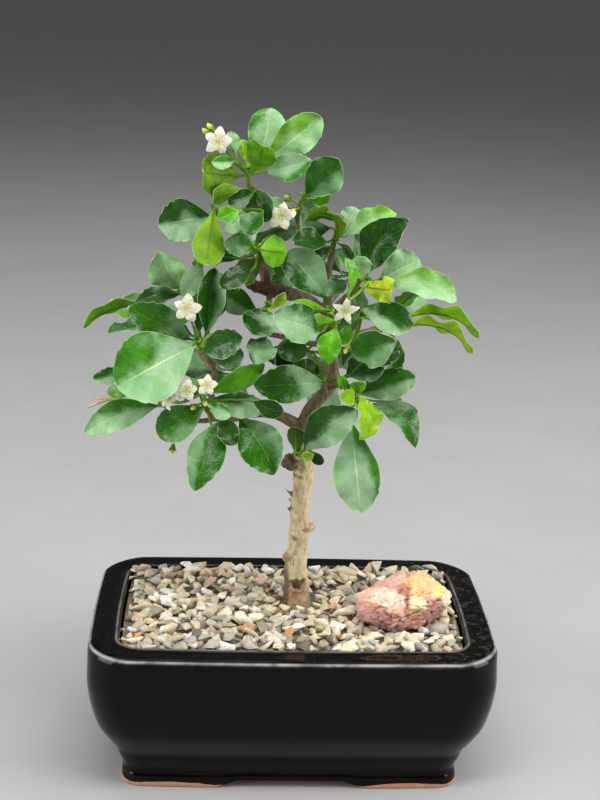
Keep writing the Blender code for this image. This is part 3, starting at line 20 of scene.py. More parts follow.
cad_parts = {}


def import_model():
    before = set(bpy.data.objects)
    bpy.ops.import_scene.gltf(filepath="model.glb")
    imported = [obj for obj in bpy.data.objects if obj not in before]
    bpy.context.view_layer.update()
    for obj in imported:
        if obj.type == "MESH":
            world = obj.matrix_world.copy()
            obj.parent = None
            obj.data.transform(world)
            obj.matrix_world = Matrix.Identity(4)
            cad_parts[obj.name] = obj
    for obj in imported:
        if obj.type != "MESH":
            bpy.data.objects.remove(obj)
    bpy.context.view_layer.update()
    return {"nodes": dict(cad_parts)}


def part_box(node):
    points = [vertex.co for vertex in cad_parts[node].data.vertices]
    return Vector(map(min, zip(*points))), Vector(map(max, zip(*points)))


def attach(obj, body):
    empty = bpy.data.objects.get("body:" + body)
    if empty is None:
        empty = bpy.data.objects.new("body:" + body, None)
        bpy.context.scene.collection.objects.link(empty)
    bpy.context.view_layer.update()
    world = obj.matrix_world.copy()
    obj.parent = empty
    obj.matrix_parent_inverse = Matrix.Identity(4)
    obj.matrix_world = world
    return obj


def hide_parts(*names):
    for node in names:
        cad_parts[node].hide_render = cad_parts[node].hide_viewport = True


LOG = logging.getLogger("bonsai")
MM = 0.001
FULL_TURN = 2.0 * math.pi

# Where the viewer's eye is, and how the view is turned and framed
EYE = Vector((-24.1, -534.9, 305.2))
VIEW_PITCH = 16.96
VIEW_YAW = 2.68
VIEW_ROLL = 1.84
VIEW_LENS = 67.5

# The accent stone's middle, half sizes and slant in the pot, in millimetres
STONE_CENTRE = Vector((42.3, -9.8, 64.9))
STONE_HALF = Vector((18.6, 13.8, 10.6))
STONE_SLANT = Vector((0.0, 2.4, 1.2))

Colour = tuple[float, float, float]
Place = tuple[float, float, float]
Socket = bpy.types.NodeSocket


@dataclass(frozen=True)
class LeafTint:
    """A leaf's colours, how much painted sheen (a painted reflection of the sky) lies on its upper face, its
    margin's waves in millimetres and the colour of its middle.
    """

    upper: Colour
    under: Colour
    bloom: float
    wave: float = 0.45
    heart: Colour | None = None


class Tone(Enum):
    """The ages and looks of leaf that the tree carries. The third number of each is how much painted sheen, a
    painted reflection of the sky, lies on its upper face: MINT and PALE are leaves covered in it, OLIVE's
    underside is painted lighter as if lit through from above, and SHADE is leaf painted dark where it lies in
    shade, DARK partly so.
    """

    MATURE = LeafTint((0.026, 0.135, 0.004), (0.07, 0.21, 0.006), 0.42)
    DARK = LeafTint((0.014, 0.074, 0.003), (0.04, 0.13, 0.004), 0.26)
    SHEEN = LeafTint((0.019, 0.104, 0.005), (0.054, 0.18, 0.006), 0.74)
    MINT = LeafTint((0.06, 0.24, 0.022), (0.12, 0.3, 0.025), 1.0, 0.6)
    PALE = LeafTint((0.2, 0.46, 0.06), (0.26, 0.5, 0.06), 0.9, 0.6)
    BRIGHT = LeafTint((0.11, 0.4, 0.004), (0.15, 0.42, 0.004), 0.16)
    LIME = LeafTint((0.31, 0.58, 0.01), (0.35, 0.58, 0.015), 0.12, 0.7)
    OLIVE = LeafTint((0.07, 0.23, 0.004), (0.17, 0.35, 0.004), 0.1)
    SHADE = LeafTint((0.016, 0.07, 0.003), (0.05, 0.12, 0.003), 0.08)
    GOLD = LeafTint((0.4, 0.6, 0.02), (0.42, 0.56, 0.015), 0.05, 1.7, (0.7, 0.44, 0.01))
    CURLED = LeafTint((0.24, 0.54, 0.016), (0.42, 0.7, 0.02), 0.3, 1.2)


@dataclass(frozen=True)
class Leaf:
    """One leaf blade as it is seen: both ends, full width, turn and bend.

    The roll turns its upper face away from the viewer, 180 degrees for its underside, and the
    fold raises each half from the midrib in degrees. Arch and bend are shares of the length,
    upwards and sideways. Keen makes the outline more pointed, up to 1.
    """

    base: Place
    tip: Place
    width: float
    roll: float
    arch: float
    fold: float
    tone: Tone = Tone.MATURE
    bend: float = 0.0
    keen: float = 0.0


@dataclass(frozen=True)
class Flower:
    """One open flower: its centre as it is seen, its radius, and where it faces if not to the viewer."""

    centre: Place
    radius: float
    facing: Place = (0.0, 0.0, 0.0)


@dataclass(frozen=True)
class Spray:
    """A green twig that grows on from a woody tip, with what it carries.

    The numbers in behind say which of its tries each leaf hidden at the back was kept from.
    """

    name: str
    wood: str
    path: tuple
    leaves: tuple = ()
    flowers: tuple = ()
    buds: tuple = ()
    behind: tuple = ()


# Woody growth: x, z, depth and radius along each branch, as seen
WOOD = {
    "stem": (
        (2.4, 52, 3.4, 5), (2.4, 58, 3.4, 5.3), (2.2, 63, 3.2, 4.9), (1.7, 70, 3, 4.5),
        (1.5, 78, 3, 4.3), (1.9, 85, 3, 3.75), (2.2, 93, 3, 3.7), (2.3, 101, 3, 3.7),
        (2.9, 108, 3, 3.6), (3.2, 114, 3, 4.1), (2.8, 119, 3, 4.1), (2.5, 124, 3, 3.3),
        (2.6, 130, 3, 2.9), (4.2, 137, 3.5, 2.6), (8.5, 143, 4, 2.4), (12, 147.5, 5, 2.2),
        (13, 155, 6, 2), (11.5, 166, 7, 1.85), (10, 178, 7, 1.65), (9.5, 188, 6, 1.45),
        (10.3, 195, 5, 1.25), (11, 199.5, 4, 1.1),
    ),
    "cut_stub": ((2, 117.2, 3, 3), (-1.6, 117.2, 1.5, 3), (-4, 117.8, 0.5, 2.4)),
    "right_knob": ((3.8, 90.5, 3, 2.4), (6.4, 91.2, 2.5, 2.1), (8.2, 91.6, 2.2, 1.2)),
    "left_knob": ((0.5, 78.5, 3, 2.4), (-2.4, 78, 2.4, 2.2), (-3.6, 77.4, 2.2, 1.1)),
    "left": (
        (2.4, 130.5, 3, 2.4), (-3, 134, 2, 2.3), (-9, 136.5, 1, 2.1), (-17, 136.5, -1, 1.9),
        (-25, 134.5, -3, 1.7), (-30, 138, -4, 1.4), (-32.5, 145, -4, 1.3), (-31, 151, -4, 1.2),
        (-33, 157, -5, 1.15), (-35.5, 161, -6.5, 1),
    ),
    "low_left": ((-24, 134.6, -3, 1.4), (-29, 134, -7, 1.2), (-33, 136.5, -11, 1)),
    "far_left": ((-29, 134.2, -6, 1.1), (-36, 133, -9, 1), (-43, 134.5, -11, 0.9)),
    "left_mid": ((-33, 156.5, -5, 1.1), (-37, 166, -1, 1), (-38.5, 176, 1, 0.95), (-39, 182, 0.5, 0.9)),
    "upper_left": (
        (10.6, 174.5, 7, 1.6), (3, 180.5, 5, 1.9), (-5, 182.5, 3, 2.5), (-12, 184, 2, 2.8),
        (-18, 185.5, 1, 2.1), (-21, 192, 1, 1.4), (-21, 201, 0, 1.25), (-20, 210, -1, 1.15),
        (-20, 218, -2, 1.05),
    ),
    "left_top": ((-21, 202, 0, 1.1), (-24.5, 207, -3, 1), (-27.5, 210.5, -5, 0.9)),
    "centre_left": ((-11, 183, 2, 1.4), (-11.5, 180.5, -2, 1), (-11.3, 178.8, -4.5, 0.9)),
    "left_inner": ((-12, 185, 2, 1.3), (-13, 190, -2, 1), (-14.5, 195, -5, 0.9)),
    "top_centre": ((9.6, 188, 6, 1.2), (4, 196, 5, 1.1), (-1, 203, 3, 1), (-2.2, 210, 2, 0.9)),
    "right_top": ((10.4, 175, 7, 1.4), (15, 180, 4, 1.3), (19, 184, 1, 1.1), (20.8, 187, -1, 1)),
    "right_mid": ((12, 161, 7, 1.5), (17, 167, 3, 1.3), (20.5, 171.5, -2, 1)),
    "centre": ((10.8, 171, 7, 1.3), (11.2, 173, 1, 1.1), (11.2, 174.5, -4, 1)),
    "right_low": ((12, 147.5, 5, 1.6), (15.5, 148.5, 1, 1.3), (18, 148, -4, 1)),
    "shiny": ((9.6, 144.5, 4.5, 1.4), (9.6, 147.5, -1, 1.1), (9.2, 149, -5, 1)),
    "trunk_top": ((1.6, 118, 3, 2), (1.2, 119.4, -2, 1.6), (1, 120.4, -5, 1.3)),
    "mid_left": ((12, 163, 7, 1.4), (3, 164, 6, 1.1), (-8, 166.5, 4, 1), (-16, 167.5, 2.5, 0.9)),
    "back_low": ((12.6, 150, 5, 1.5), (9, 154, 14, 1.3), (5, 158, 22, 1)),
    "back_left_low": ((-17, 136.6, -1, 1.5), (-19, 142, 8, 1.2), (-21, 148, 16, 1)),
    "back_right": ((10, 179, 7, 1.4), (14, 184, 15, 1.2), (18, 188, 22, 1)),
    "back_left": ((-13, 184.2, 2, 1.5), (-14, 189, 10, 1.2), (-17, 194, 17, 1)),
    "back_top": ((9.7, 191, 5.6, 1.2), (6, 197, 12, 1.1), (3, 201, 17, 1)),
    "back_far_left": ((-32, 154, -4.4, 1.1), (-38, 160, 6, 1), (-44, 164, 13, 0.9)),
    "back_far_right": ((15.5, 165.4, 4.2, 1.2), (22, 168, 11, 1.1), (28, 170, 17, 1)),
}

SPRAYS = (
    Spray("spray_top_left", "upper_left", ((-19.8, 222, -3), (-20, 226.5, -4)), (
        Leaf((-16.2, 228.4, -3), (-12.4, 249.1, 2), 12.8, 0, 0.06, 12, Tone.MINT),
        Leaf((-14, 230.4, -4), (5.2, 246.6, -5), 12.2, 0, 0.05, 10, Tone.PALE),
        Leaf((-13.8, 226.8, -5), (2, 231.2, -10), 9.5, 10, 0.08, 14, Tone.MINT, 0, 0.3),
        Leaf((-18.4, 226.6, -5), (-14.8, 236.2, -15), 11.6, 170, 0.06, 10, Tone.BRIGHT),
        Leaf((-23.2, 225, -5), (-36.4, 225.8, -15), 14.8, 180, 0.1, 8, Tone.OLIVE),
        Leaf((-21, 219.8, -6), (-33, 215.8, -16), 7, 150, 0.12, 14, Tone.OLIVE),
        Leaf((-18.3, 220.4, -5), (-12, 209.4, -12), 10.6, 20, 0.12, 14, Tone.DARK),
        Leaf((-21.2, 230.6, -4), (-22.8, 237.6, -6), 5, 30, 0.05, 20, Tone.LIME),
        Leaf((-24.6, 232.5, -2), (-27.2, 240.4, 0), 5, 10, 0.05, 20, Tone.MINT),
        Leaf((-25.4, 230, -10), (-33.2, 229.6, -19), 4.6, -10, 0.05, 20, Tone.MINT),
        Leaf((-18, 219.4, -9.8), (-27.2, 215.8, -19), 6, -20, 0.08, 14, Tone.DARK),
    ), flowers=(Flower((-31, 237, -13), 5.2),), buds=((-33.6, 241.6, -8), (-35.2, 240, -10))),
    Spray("spray_top_centre", "top_centre", ((-2, 213, 1.5), (-0.6, 217, 1)), (
        Leaf((0.8, 218.8, 0), (12, 231.8, 0), 13.6, 5, 0.06, 16, Tone.MATURE, 0, 0.5),
        Leaf((0.8, 217.4, -2), (9, 219.2, -6), 6.5, 62, 0.08, 20, Tone.BRIGHT),
    ), flowers=(Flower((-8, 211, -9), 5.3),), buds=((-5.6, 217.4, -2), (-3.6, 213, -5))),
    Spray("spray_crown", "stem", ((11.6, 203, 3), (12.4, 206.5, 2)), (
        Leaf((12.8, 203, 0), (9.4, 213, -7), 7, 118, 0.1, 22, Tone.OLIVE),
        Leaf((13.6, 209.4, 1), (0.2, 209.2, -3), 8, 128, 0.22, 12, Tone.OLIVE),
        Leaf((10, 207, 5), (-1.2, 206.4, 9), 7.5, -12, 0.08, 12, Tone.SHEEN),
        Leaf((8.6, 201.8, 0), (-3.4, 201.4, -9), 9, 28, 0.1, 18, Tone.DARK),
        Leaf((10, 200, 1.2), (2.6, 195.4, -2), 7.5, 10, 0.08, 14, Tone.DARK),
        Leaf((14.6, 205.4, 4), (18.8, 214.6, 6), 9, 10, 0.08, 14, Tone.MINT),
        Leaf((15.8, 204.2, 2), (33.2, 213.2, 0), 8.8, -38, 0.1, 22, Tone.PALE, 0, 0.4),
    )),
    Spray("spray_right_top", "right_top", ((21.8, 188.6, -3), (23.4, 189, -6), (26, 187.6, -8.5)), (
        Leaf((24, 190.4, -5), (38, 211, -8), 13.8, -16, 0.07, 20, Tone.DARK, -0.13, 0.9),
        Leaf((20, 192, -1), (21.4, 207, 6), 8.5, 28, 0.08, 16),
        Leaf((28.8, 188.6, -6), (42.8, 196.2, -5), 13.2, 0, 0.08, 12, Tone.MINT),
        Leaf((30.8, 185.8, -9), (57.2, 182.4, -16), 11.4, -30, 0.11, 12, Tone.PALE, -0.08),
        Leaf((23, 185.8, -9), (34.2, 184.6, -18), 9, 168, 0.08, 14, Tone.GOLD),
        Leaf((22, 188.4, -9), (20.4, 197, -13), 8, 12, -0.08, 26, Tone.PALE),
        Leaf((17.4, 181.6, -20), (16, 196, -23), 6.5, 66, 0.08, 20, Tone.BRIGHT),
        Leaf((16.2, 187.6, -3), (9.8, 182.4, -11), 7, 20, 0.08, 16, Tone.DARK),
    )),
    Spray("spray_right_mid", "right_mid", ((22, 173.6, -4.5), (22.6, 174.4, -8)), (
        Leaf((22.4, 177.6, -9), (41.4, 170.6, -14), 11, -12, 0.14, 16, Tone.SHEEN),
        Leaf((19.6, 160.6, -13), (35.6, 166, -33), 12.5, 8, 0.09, 12, Tone.MATURE, 0, 0.2),
        Leaf((22.6, 157.4, -15), (37.2, 161.4, -15), 9.5, -20, 0.08, 14, Tone.DARK),
        Leaf((37, 173.8, -5), (67, 168.6, -8), 10, -116, 0.17, 16, Tone.CURLED),
        Leaf((36.6, 171, -9), (65, 162.2, -14), 9, -112, 0.16, 16, Tone.CURLED),
        Leaf((18.6, 171, -7), (15.4, 163.6, -11), 5, 0, 0.08, 18, Tone.BRIGHT),
    ), flowers=(Flower((16.5, 176.4, -16), 5.6),), buds=((17.6, 162, -14),)),
    Spray("spray_centre", "centre", ((11, 175.4, -6.5), (11, 176, -9)), (
        Leaf((9.6, 181, -5), (-5.4, 198.2, -3), 13.5, 8, 0.1, 14, Tone.SHEEN),
        Leaf((9.4, 176.6, -11), (-4.6, 176.2, -16), 7, 162, 0.1, 12, Tone.BRIGHT),
        Leaf((14, 171.8, -11), (2.6, 170.4, -17), 6, 150, 0.1, 12, Tone.BRIGHT),
        Leaf((13.4, 169.8, -13), (11.2, 156, -19), 8.2, 5, 0.1, 14, Tone.BRIGHT, 0.07, 0.6),
        Leaf((7.4, 168.2, -16), (-9.2, 173.6, -29), 13.4, 12, 0.1, 12, Tone.SHEEN),
    )),
    Spray("spray_centre_left", "centre_left", ((-11.2, 178, -6), (-11.4, 177.6, -8)), (
        Leaf((-11.4, 176.6, -8), (-16.8, 166.6, -14), 12.4, 12, 0.08, 12, Tone.SHEEN),
        Leaf((-9.6, 177.4, -8), (-6, 182.8, -12), 4, 20, 0.08, 20, Tone.LIME),
    )),
    Spray("spray_left_top", "left_top", ((-29.4, 211.8, -7), (-31, 212.2, -9)), (
        Leaf((-33.4, 210, -8), (-52, 206.8, -13), 14.4, 5, 0.09, 14, Tone.SHEEN),
        Leaf((-32.2, 212, -12), (-34.2, 192.2, -24), 11, 172, 0.11, 12, Tone.OLIVE),
        Leaf((-23, 210.4, -11.5), (-28, 205, -23), 6, -20, 0.08, 22, Tone.MINT),
        Leaf((-14.6, 212, -17), (-20.6, 204, -22), 8.6, 30, 0.08, 18),
        Leaf((-23, 212.2, -24), (-30.6, 209.4, -26), 6, 20, 0.08, 18, Tone.BRIGHT),
    )),
    Spray("spray_left_inner", "left_inner", ((-15.4, 197.6, -7), (-16.2, 199, -9)), (
        Leaf((-17.6, 199.4, -10), (-28.4, 200.6, -17), 8, 0, 0.08, 14),
        Leaf((-15.4, 198.6, -12), (-5.6, 197.6, -9), 11, 172, 0.07, 10, Tone.BRIGHT),
        Leaf((-14.4, 194.8, -9), (-23, 187.2, -14), 9, 164, 0.09, 12, Tone.SHADE),
        Leaf((-22.6, 195, -7), (-36, 194.6, -12), 9, 140, 0.1, 14, Tone.SHADE),
        Leaf((-18.6, 190.4, -12.6), (-29.4, 184.8, -22), 7.5, 10, 0.08, 14, Tone.SHADE),
    )),
    Spray("spray_left_mid", "left_mid", ((-39.2, 184.4, 0), (-40, 187, -1), (-39, 191, -2)), (
        Leaf((-44, 183.4, -1), (-51.8, 196.4, -6), 13, -18, 0.08, 28, Tone.PALE),
        Leaf((-36.4, 193.6, -6), (-42.6, 180.4, -12), 7.5, -12, 0.09, 14, Tone.MINT),
        Leaf((-45.2, 182.2, 1), (-70.2, 176.2, 3), 9.8, -30, 0.1, 14, Tone.PALE),
        Leaf((-43.8, 181.4, -5), (-60, 177.6, -13), 7, 30, 0.1, 16, Tone.DARK),
        Leaf((-53.6, 177, -10), (-79.4, 168.2, -13), 9.6, 114, 0.12, 16, Tone.BRIGHT),
    )),
    Spray("spray_left_low", "left", ((-36.6, 162.6, -8), (-37.2, 163.8, -11)), (
        Leaf((-34.4, 167, -8), (-31.6, 191.4, -9), 9.5, 5, 0.05, 42),
        Leaf((-33.4, 168, -5), (-29, 189.4, -4), 7, 55, 0.06, 22, Tone.DARK),
        Leaf((-37, 167, -6), (-37.2, 182.4, -2), 6.5, 10, 0.06, 18),
        Leaf((-40.4, 164.6, -10), (-62.8, 176, -17), 12.5, 0, 0.09, 14, Tone.MATURE, 0, 0.3),
        Leaf((-38.8, 162.4, -14), (-67, 146, -26), 24, 0, 0.09, 9, Tone.MINT),
        Leaf((-36.4, 161.8, -13), (-28.6, 168, -17), 6, 30, 0.1, 22, Tone.LIME),
        Leaf((-35.6, 161, -12), (-31, 160.2, -12), 3.2, 10, 0.08, 20, Tone.LIME),
        Leaf((-35.4, 160, -18), (-21, 165.6, -28), 10, -8, 0.08, 14, Tone.DARK),
        Leaf((-33.6, 158.4, -14), (-20.4, 158.6, -12), 8.5, 5, 0.08, 12, Tone.DARK),
    ), flowers=(Flower((-41.5, 176, -18), 5.4),)),
    Spray("spray_low_left", "low_left", ((-34.4, 138.6, -13), (-35, 141, -14.5), (-36.6, 146, -16)), (
        Leaf((-34.8, 138.4, -17), (-52, 127, -20), 12.4, 0, 0.09, 12),
        Leaf((-32.6, 141.4, -15), (-11.8, 138.2, -20), 9, 0, 0.1, 14, Tone.SHEEN),
        Leaf((-32.4, 144.2, -13), (-12.6, 155.4, -14), 8, 18, 0.07, 14, Tone.BRIGHT, 0, 0.3),
        Leaf((-29, 133, -17), (-38, 105.6, -35), 12.8, 0, 0.07, 12, Tone.MATURE, 0, 0.5),
        Leaf((-21.2, 134.2, -16.8), (-7.8, 112.2, -25), 15.4, 0, 0.08, 14, Tone.MATURE, -0.06, 0.7),
        Leaf((-32.6, 139.8, -17.5), (-24.8, 134.8, -25), 5.6, 10, 0.08, 14, Tone.MINT),
        Leaf((-27.6, 134, -19), (-23.4, 123.6, -29), 7.5, 0, 0.08, 14, Tone.SHADE),
        Leaf((-16.6, 141, -22), (-5.2, 136.8, -24), 6.5, 10, 0.08, 14, Tone.SHADE),
    ), flowers=(
        Flower((-41.4, 145, -22), 4.2),
        Flower((-33.8, 147, -27.5), 4),
        Flower((-47.8, 141.6, -21), 5, (-0.75, -0.45, 0.45)),
    ), buds=((-38.4, 138.4, -19), (-34.6, 140.2, -21), (-28.6, 121.4, -20))),
    Spray("spray_far_left", "far_left", ((-45.4, 135.4, -11.5), (-49, 138, -12)), (
        Leaf((-52.2, 138.6, -12), (-79.6, 127.3, -16), 10.4, 5, 0.1, 14, Tone.MINT, 0.05, 0.7),
        Leaf((-58, 149, -4), (-76, 148.8, -5), 6.5, 20, 0.08, 18, Tone.SHEEN),
        Leaf((-60, 146, -8), (-70.8, 143.4, -13), 6, 0, 0.08, 18, Tone.PALE),
    ), buds=((-46.4, 121.6, -16),)),
    Spray("spray_shiny", "shiny", ((9, 149.4, -7), (8.6, 149.6, -9)), (
        Leaf((9.4, 149, -11), (-16.6, 147.2, -17), 13.2, -4, 0.1, 12, Tone.SHEEN, 0, 0.4),
        Leaf((4.4, 160.4, -3), (-8.2, 161.6, -6), 8.5, 5, 0.08, 12, Tone.DARK),
        Leaf((18, 152, -9), (24, 158.8, -8), 8, 20, 0.08, 14, Tone.DARK),
        Leaf((8.4, 153.6, -4), (-2, 154.4, -9), 7, 10, 0.08, 14, Tone.SHADE),
        Leaf((1, 157, -1), (-12, 159.2, -3), 8, 10, 0.08, 14, Tone.SHADE),
        Leaf((19, 151.4, -11), (32, 156.2, -14), 7.5, 10, 0.08, 14, Tone.DARK),
    )),
    Spray("spray_mid_left", "mid_left", ((-17.4, 168.2, 1.5), (-18, 170, 1)), (
        Leaf((-15.6, 175.2, 0), (-29.4, 181.6, 2), 9.5, 0, 0.08, 14),
        Leaf((-12.4, 165.6, -4.5), (-15.6, 155.6, -17), 10.5, 0, 0.09, 12, Tone.SHEEN),
    )),
    Spray("spray_trunk_top", "trunk_top", ((0.9, 121.2, -7), (0.9, 121.6, -8.5)), (
        Leaf((0.2, 120.4, -9.5), (-0.8, 131.4, -11), 6.5, 166, 0.08, 16, Tone.SHADE),
        Leaf((3.4, 122.4, -10), (22, 138.6, -21), 13.8, 0, 0.09, 12, Tone.SHEEN, -0.06, 0.1),
        Leaf((5.6, 121.8, -6), (10.4, 116.8, -8), 4, 10, 0.1, 20, Tone.DARK),
        Leaf((2.4, 119, -9), (6.8, 120.6, -14), 3.4, 10, 0.08, 20, Tone.LIME),
    )),
    Spray("spray_right_low", "right_low", ((19.2, 147.2, -6.5), (20, 146, -9), (21.6, 142.6, -12)), (
        Leaf((21.6, 145, -10), (44, 151.4, -13), 11, -5, 0.08, 14),
        Leaf((25.8, 140.2, -11), (45.6, 124.2, -16), 11.4, -38, 0.2, 14, Tone.SHEEN, -0.13, 0.3),
        Leaf((22.6, 144.2, -16), (25.2, 126.8, -22), 11, -42, 0.2, 14, Tone.LIME, -0.06),
        Leaf((20.4, 133.4, -13), (25.8, 97, -14), 16.2, 0, 0.06, 8, Tone.MINT, 0, 0.35),
        Leaf((19.6, 146.8, -13.5), (25.4, 148.8, -22), 4.4, 10, 0.08, 20, Tone.BRIGHT),
        Leaf((17.4, 146.6, -8.5), (15.2, 151.4, -15), 4, 10, 0.08, 20, Tone.BRIGHT),
        Leaf((18, 146, -14.5), (20.6, 140.6, -26), 5.4, 10, 0.08, 20, Tone.LIME),
    ), buds=((38, 142, -10),)),
    Spray("spray_back_low", "back_low", ((3, 160, 26), (1, 162, 30)), behind=(8, 47, 32, 28)),
    Spray("spray_back_left_low", "back_left_low", ((-22, 151, 20), (-23, 153, 24)), behind=(34, 30, 2, 52)),
    Spray("spray_back_right", "back_right", ((20, 190, 26), (21, 192, 30)), behind=(47, 18, 31, 1, 6)),
    Spray("spray_back_left", "back_left", ((-19, 197, 21), (-21, 199, 25)), behind=(2, 34, 40, 0, 18)),
    Spray("spray_back_top", "back_top", ((1.5, 203, 20), (0, 205, 23)), behind=(0, 15, 12, 19)),
    Spray("spray_back_far_left", "back_far_left", ((-47, 166, 16), (-49, 168, 19)), behind=(17, 14, 35, 55)),
    Spray("spray_back_far_right", "back_far_right", ((31, 171, 20), (34, 172, 23)), behind=(43, 50, 52, 29)),
)


def seen(x: float, z: float, depth: float) -> Vector:
    """Return the point at a depth on the line of sight through (x, z).

    Args:
        x: Millimetres along the upright plane through the trunk.
        z: Millimetres above the table on that plane.
        depth: Millimetres behind that plane, negative in front of it.

    Returns:
        The point in metres.
    """
    on_plane = Vector((x, 0.0, z))
    reach = (depth - EYE.y) / -EYE.y
    return (EYE + (on_plane - EYE) * reach) * MM


def clamp(value: float) -> float:
    """Return a value held between 0 and 1."""
    return max(0.0, min(1.0, value))


def smooth_step(value: float) -> float:
    """Return a soft step from 0 to 1."""
    share = clamp(value)
    return share * share * (3.0 - 2.0 * share)


def peak(value: float, middle: float, width: float) -> float:
    """Return 1 at the middle, falling off softly over a width."""
    return math.exp(-((value - middle) / width) ** 2)


def blend_colours(first: Colour, second: Colour, share: float) -> Colour:
    """Return the colour a share of the way from the first to the second."""
    return tuple(a + (b - a) * share for a, b in zip(first, second))


def lifted(colour: Colour, factor: float) -> Colour:
    """Return a colour made lighter or darker by a factor."""
    return tuple(channel * factor for channel in colour)


def scattered_way(draw: random.Random, upright: float = 1.0) -> Vector:
    """Return a drawn direction, with its upright part spread by a factor."""
    return Vector((draw.gauss(0.0, 1.0), draw.gauss(0.0, 1.0), draw.gauss(0.0, upright))).normalized()


def squeezed(place: Vector, level: float, upright: float) -> Vector:
    """Return a place scaled level and upright, for a drawn-out pattern."""
    return Vector((place.x * level, place.y * level, place.z * upright))


def flowing(points: list[Vector], values: list[float], steps: int) -> tuple[list[Vector], list[float]]:
    """Return a path made smooth, with its values carried along.

    Args:
        points: Corners of the path.
        values: A number for each corner, such as a radius.
        steps: Places on each stretch.

    Returns:
        The places and their values.
    """
    places = []
    carried = []
    for index in range(len(points) - 1):
        before = points[max(0, index - 1)]
        here, there = points[index], points[index + 1]
        after = points[min(len(points) - 1, index + 2)]
        for step in range(steps):
            t = step / steps
            bend = (here * 2.0) + (there - before) * t
            bend += (before * 2.0 - here * 5.0 + there * 4.0 - after) * t * t
            bend += (here * 3.0 - before - there * 3.0 + after) * t * t * t
            places.append(bend * 0.5)
            carried.append(values[index] + (values[index + 1] - values[index]) * smooth_step(t))
    return places + [points[-1].copy()], carried + [values[-1]]


def mesh_of(work: bmesh.types.BMesh, name: str) -> bpy.types.Mesh:
    """Return a mesh of what was worked on, and free the work.

    Args:
        work: What was worked on.
        name: The mesh's name.

    Returns:
        The mesh.
    """
    mesh = bpy.data.meshes.new(name)
    work.to_mesh(mesh)
    work.free()
    return mesh


def new_object(name: str, data: bpy.types.ID) -> bpy.types.Object:
    """Return a new object that is linked to the scene.

    Args:
        name: Its name.
        data: What it shows.

    Returns:
        The object.
    """
    made = bpy.data.objects.new(name, data)
    bpy.context.scene.collection.objects.link(made)
    return made


def applied_mesh(made: bpy.types.Object) -> bpy.types.Mesh:
    """Return an object's mesh with its modifiers applied, and remove the object.

    Args:
        made: The object.

    Returns:
        The mesh.
    """
    bpy.context.view_layer.update()
    graph = bpy.context.evaluated_depsgraph_get()
    mesh = bpy.data.meshes.new_from_object(made.evaluated_get(graph))
    bpy.data.objects.remove(made)
    return mesh


@dataclass(frozen=True)
class Patch:
    """A soft oval of colour on a surface: its middle, half sizes, colour, strength and turn in degrees."""

    across: float
    up: float
    half_across: float
    half_up: float
    colour: Colour
    strength: float = 1.0
    turn: float = 0.0

    def cover(self, across: float, up: float) -> float:
        """Return how strongly it covers a place.

        Args:
            across: The place, across.
            up: The place, upwards.

        Returns:
            Its strength there, from 0 to 1.
        """
        x, y = across - self.across, up - self.up
        cos, sin = math.cos(math.radians(self.turn)), math.sin(math.radians(self.turn))
        away = math.hypot((x * cos + y * sin) / self.half_across, (y * cos - x * sin) / self.half_up)
        return self.strength * smooth_step((1.25 - away) / 0.5)


@dataclass(frozen=True)
class Rosette:
    """The frame of a round growth: its middle and the way that it faces."""

    centre: Vector
    way: Vector

    def out(self, turn: float) -> Vector:
        """Return the direction outwards at a turn round its axis."""
        return Quaternion(self.way, turn) @ self.way.orthogonal().normalized()

    def spot(self, turn: float, reach: float, lift: float) -> Vector:
        """Return a place that many millimetres out from the axis and along it."""
        return self.centre + (self.out(turn) * reach + self.way * lift) * MM


class Outline(Enum):
    """How wide a blade is along its length."""

    LEAF = "leaf"
    PETAL = "petal"
    POINTED = "pointed"

    def half_width(self, share: float, keen: float = 0.0) -> float:
        """Return the half width at a share of the length.

        Args:
            share: Share of the length.
            keen: How pointed the outline is, from 0 to 1.

        Returns:
            The half width as a share of the widest.
        """
        if self is Outline.PETAL:
            reach = max(0.0, share - 0.36) / 0.64
            tip = max(0.0, 1.0 - reach ** (2.1 - 0.6 * keen)) ** (0.62 + 0.25 * keen)
            return (0.66 + 0.34 * smooth_step(share / 0.36)) * tip
        if self is Outline.POINTED:
            if share < 0.5:
                return 0.25 + 0.75 * math.sin(math.pi * share ** 0.8)
            return 1.0 - (2.0 * share - 1.0) ** 1.7
        widest = 0.62 - 0.16 * keen
        if share <= widest:
            return 1.07 * (0.07 + 0.93 * math.sin(0.5 * math.pi * share / widest) ** 1.15)
        return 1.07 * max(0.0, 1.0 - ((share - widest) / (1.0 - widest)) ** 2.2) ** (0.6 + 0.35 * keen)


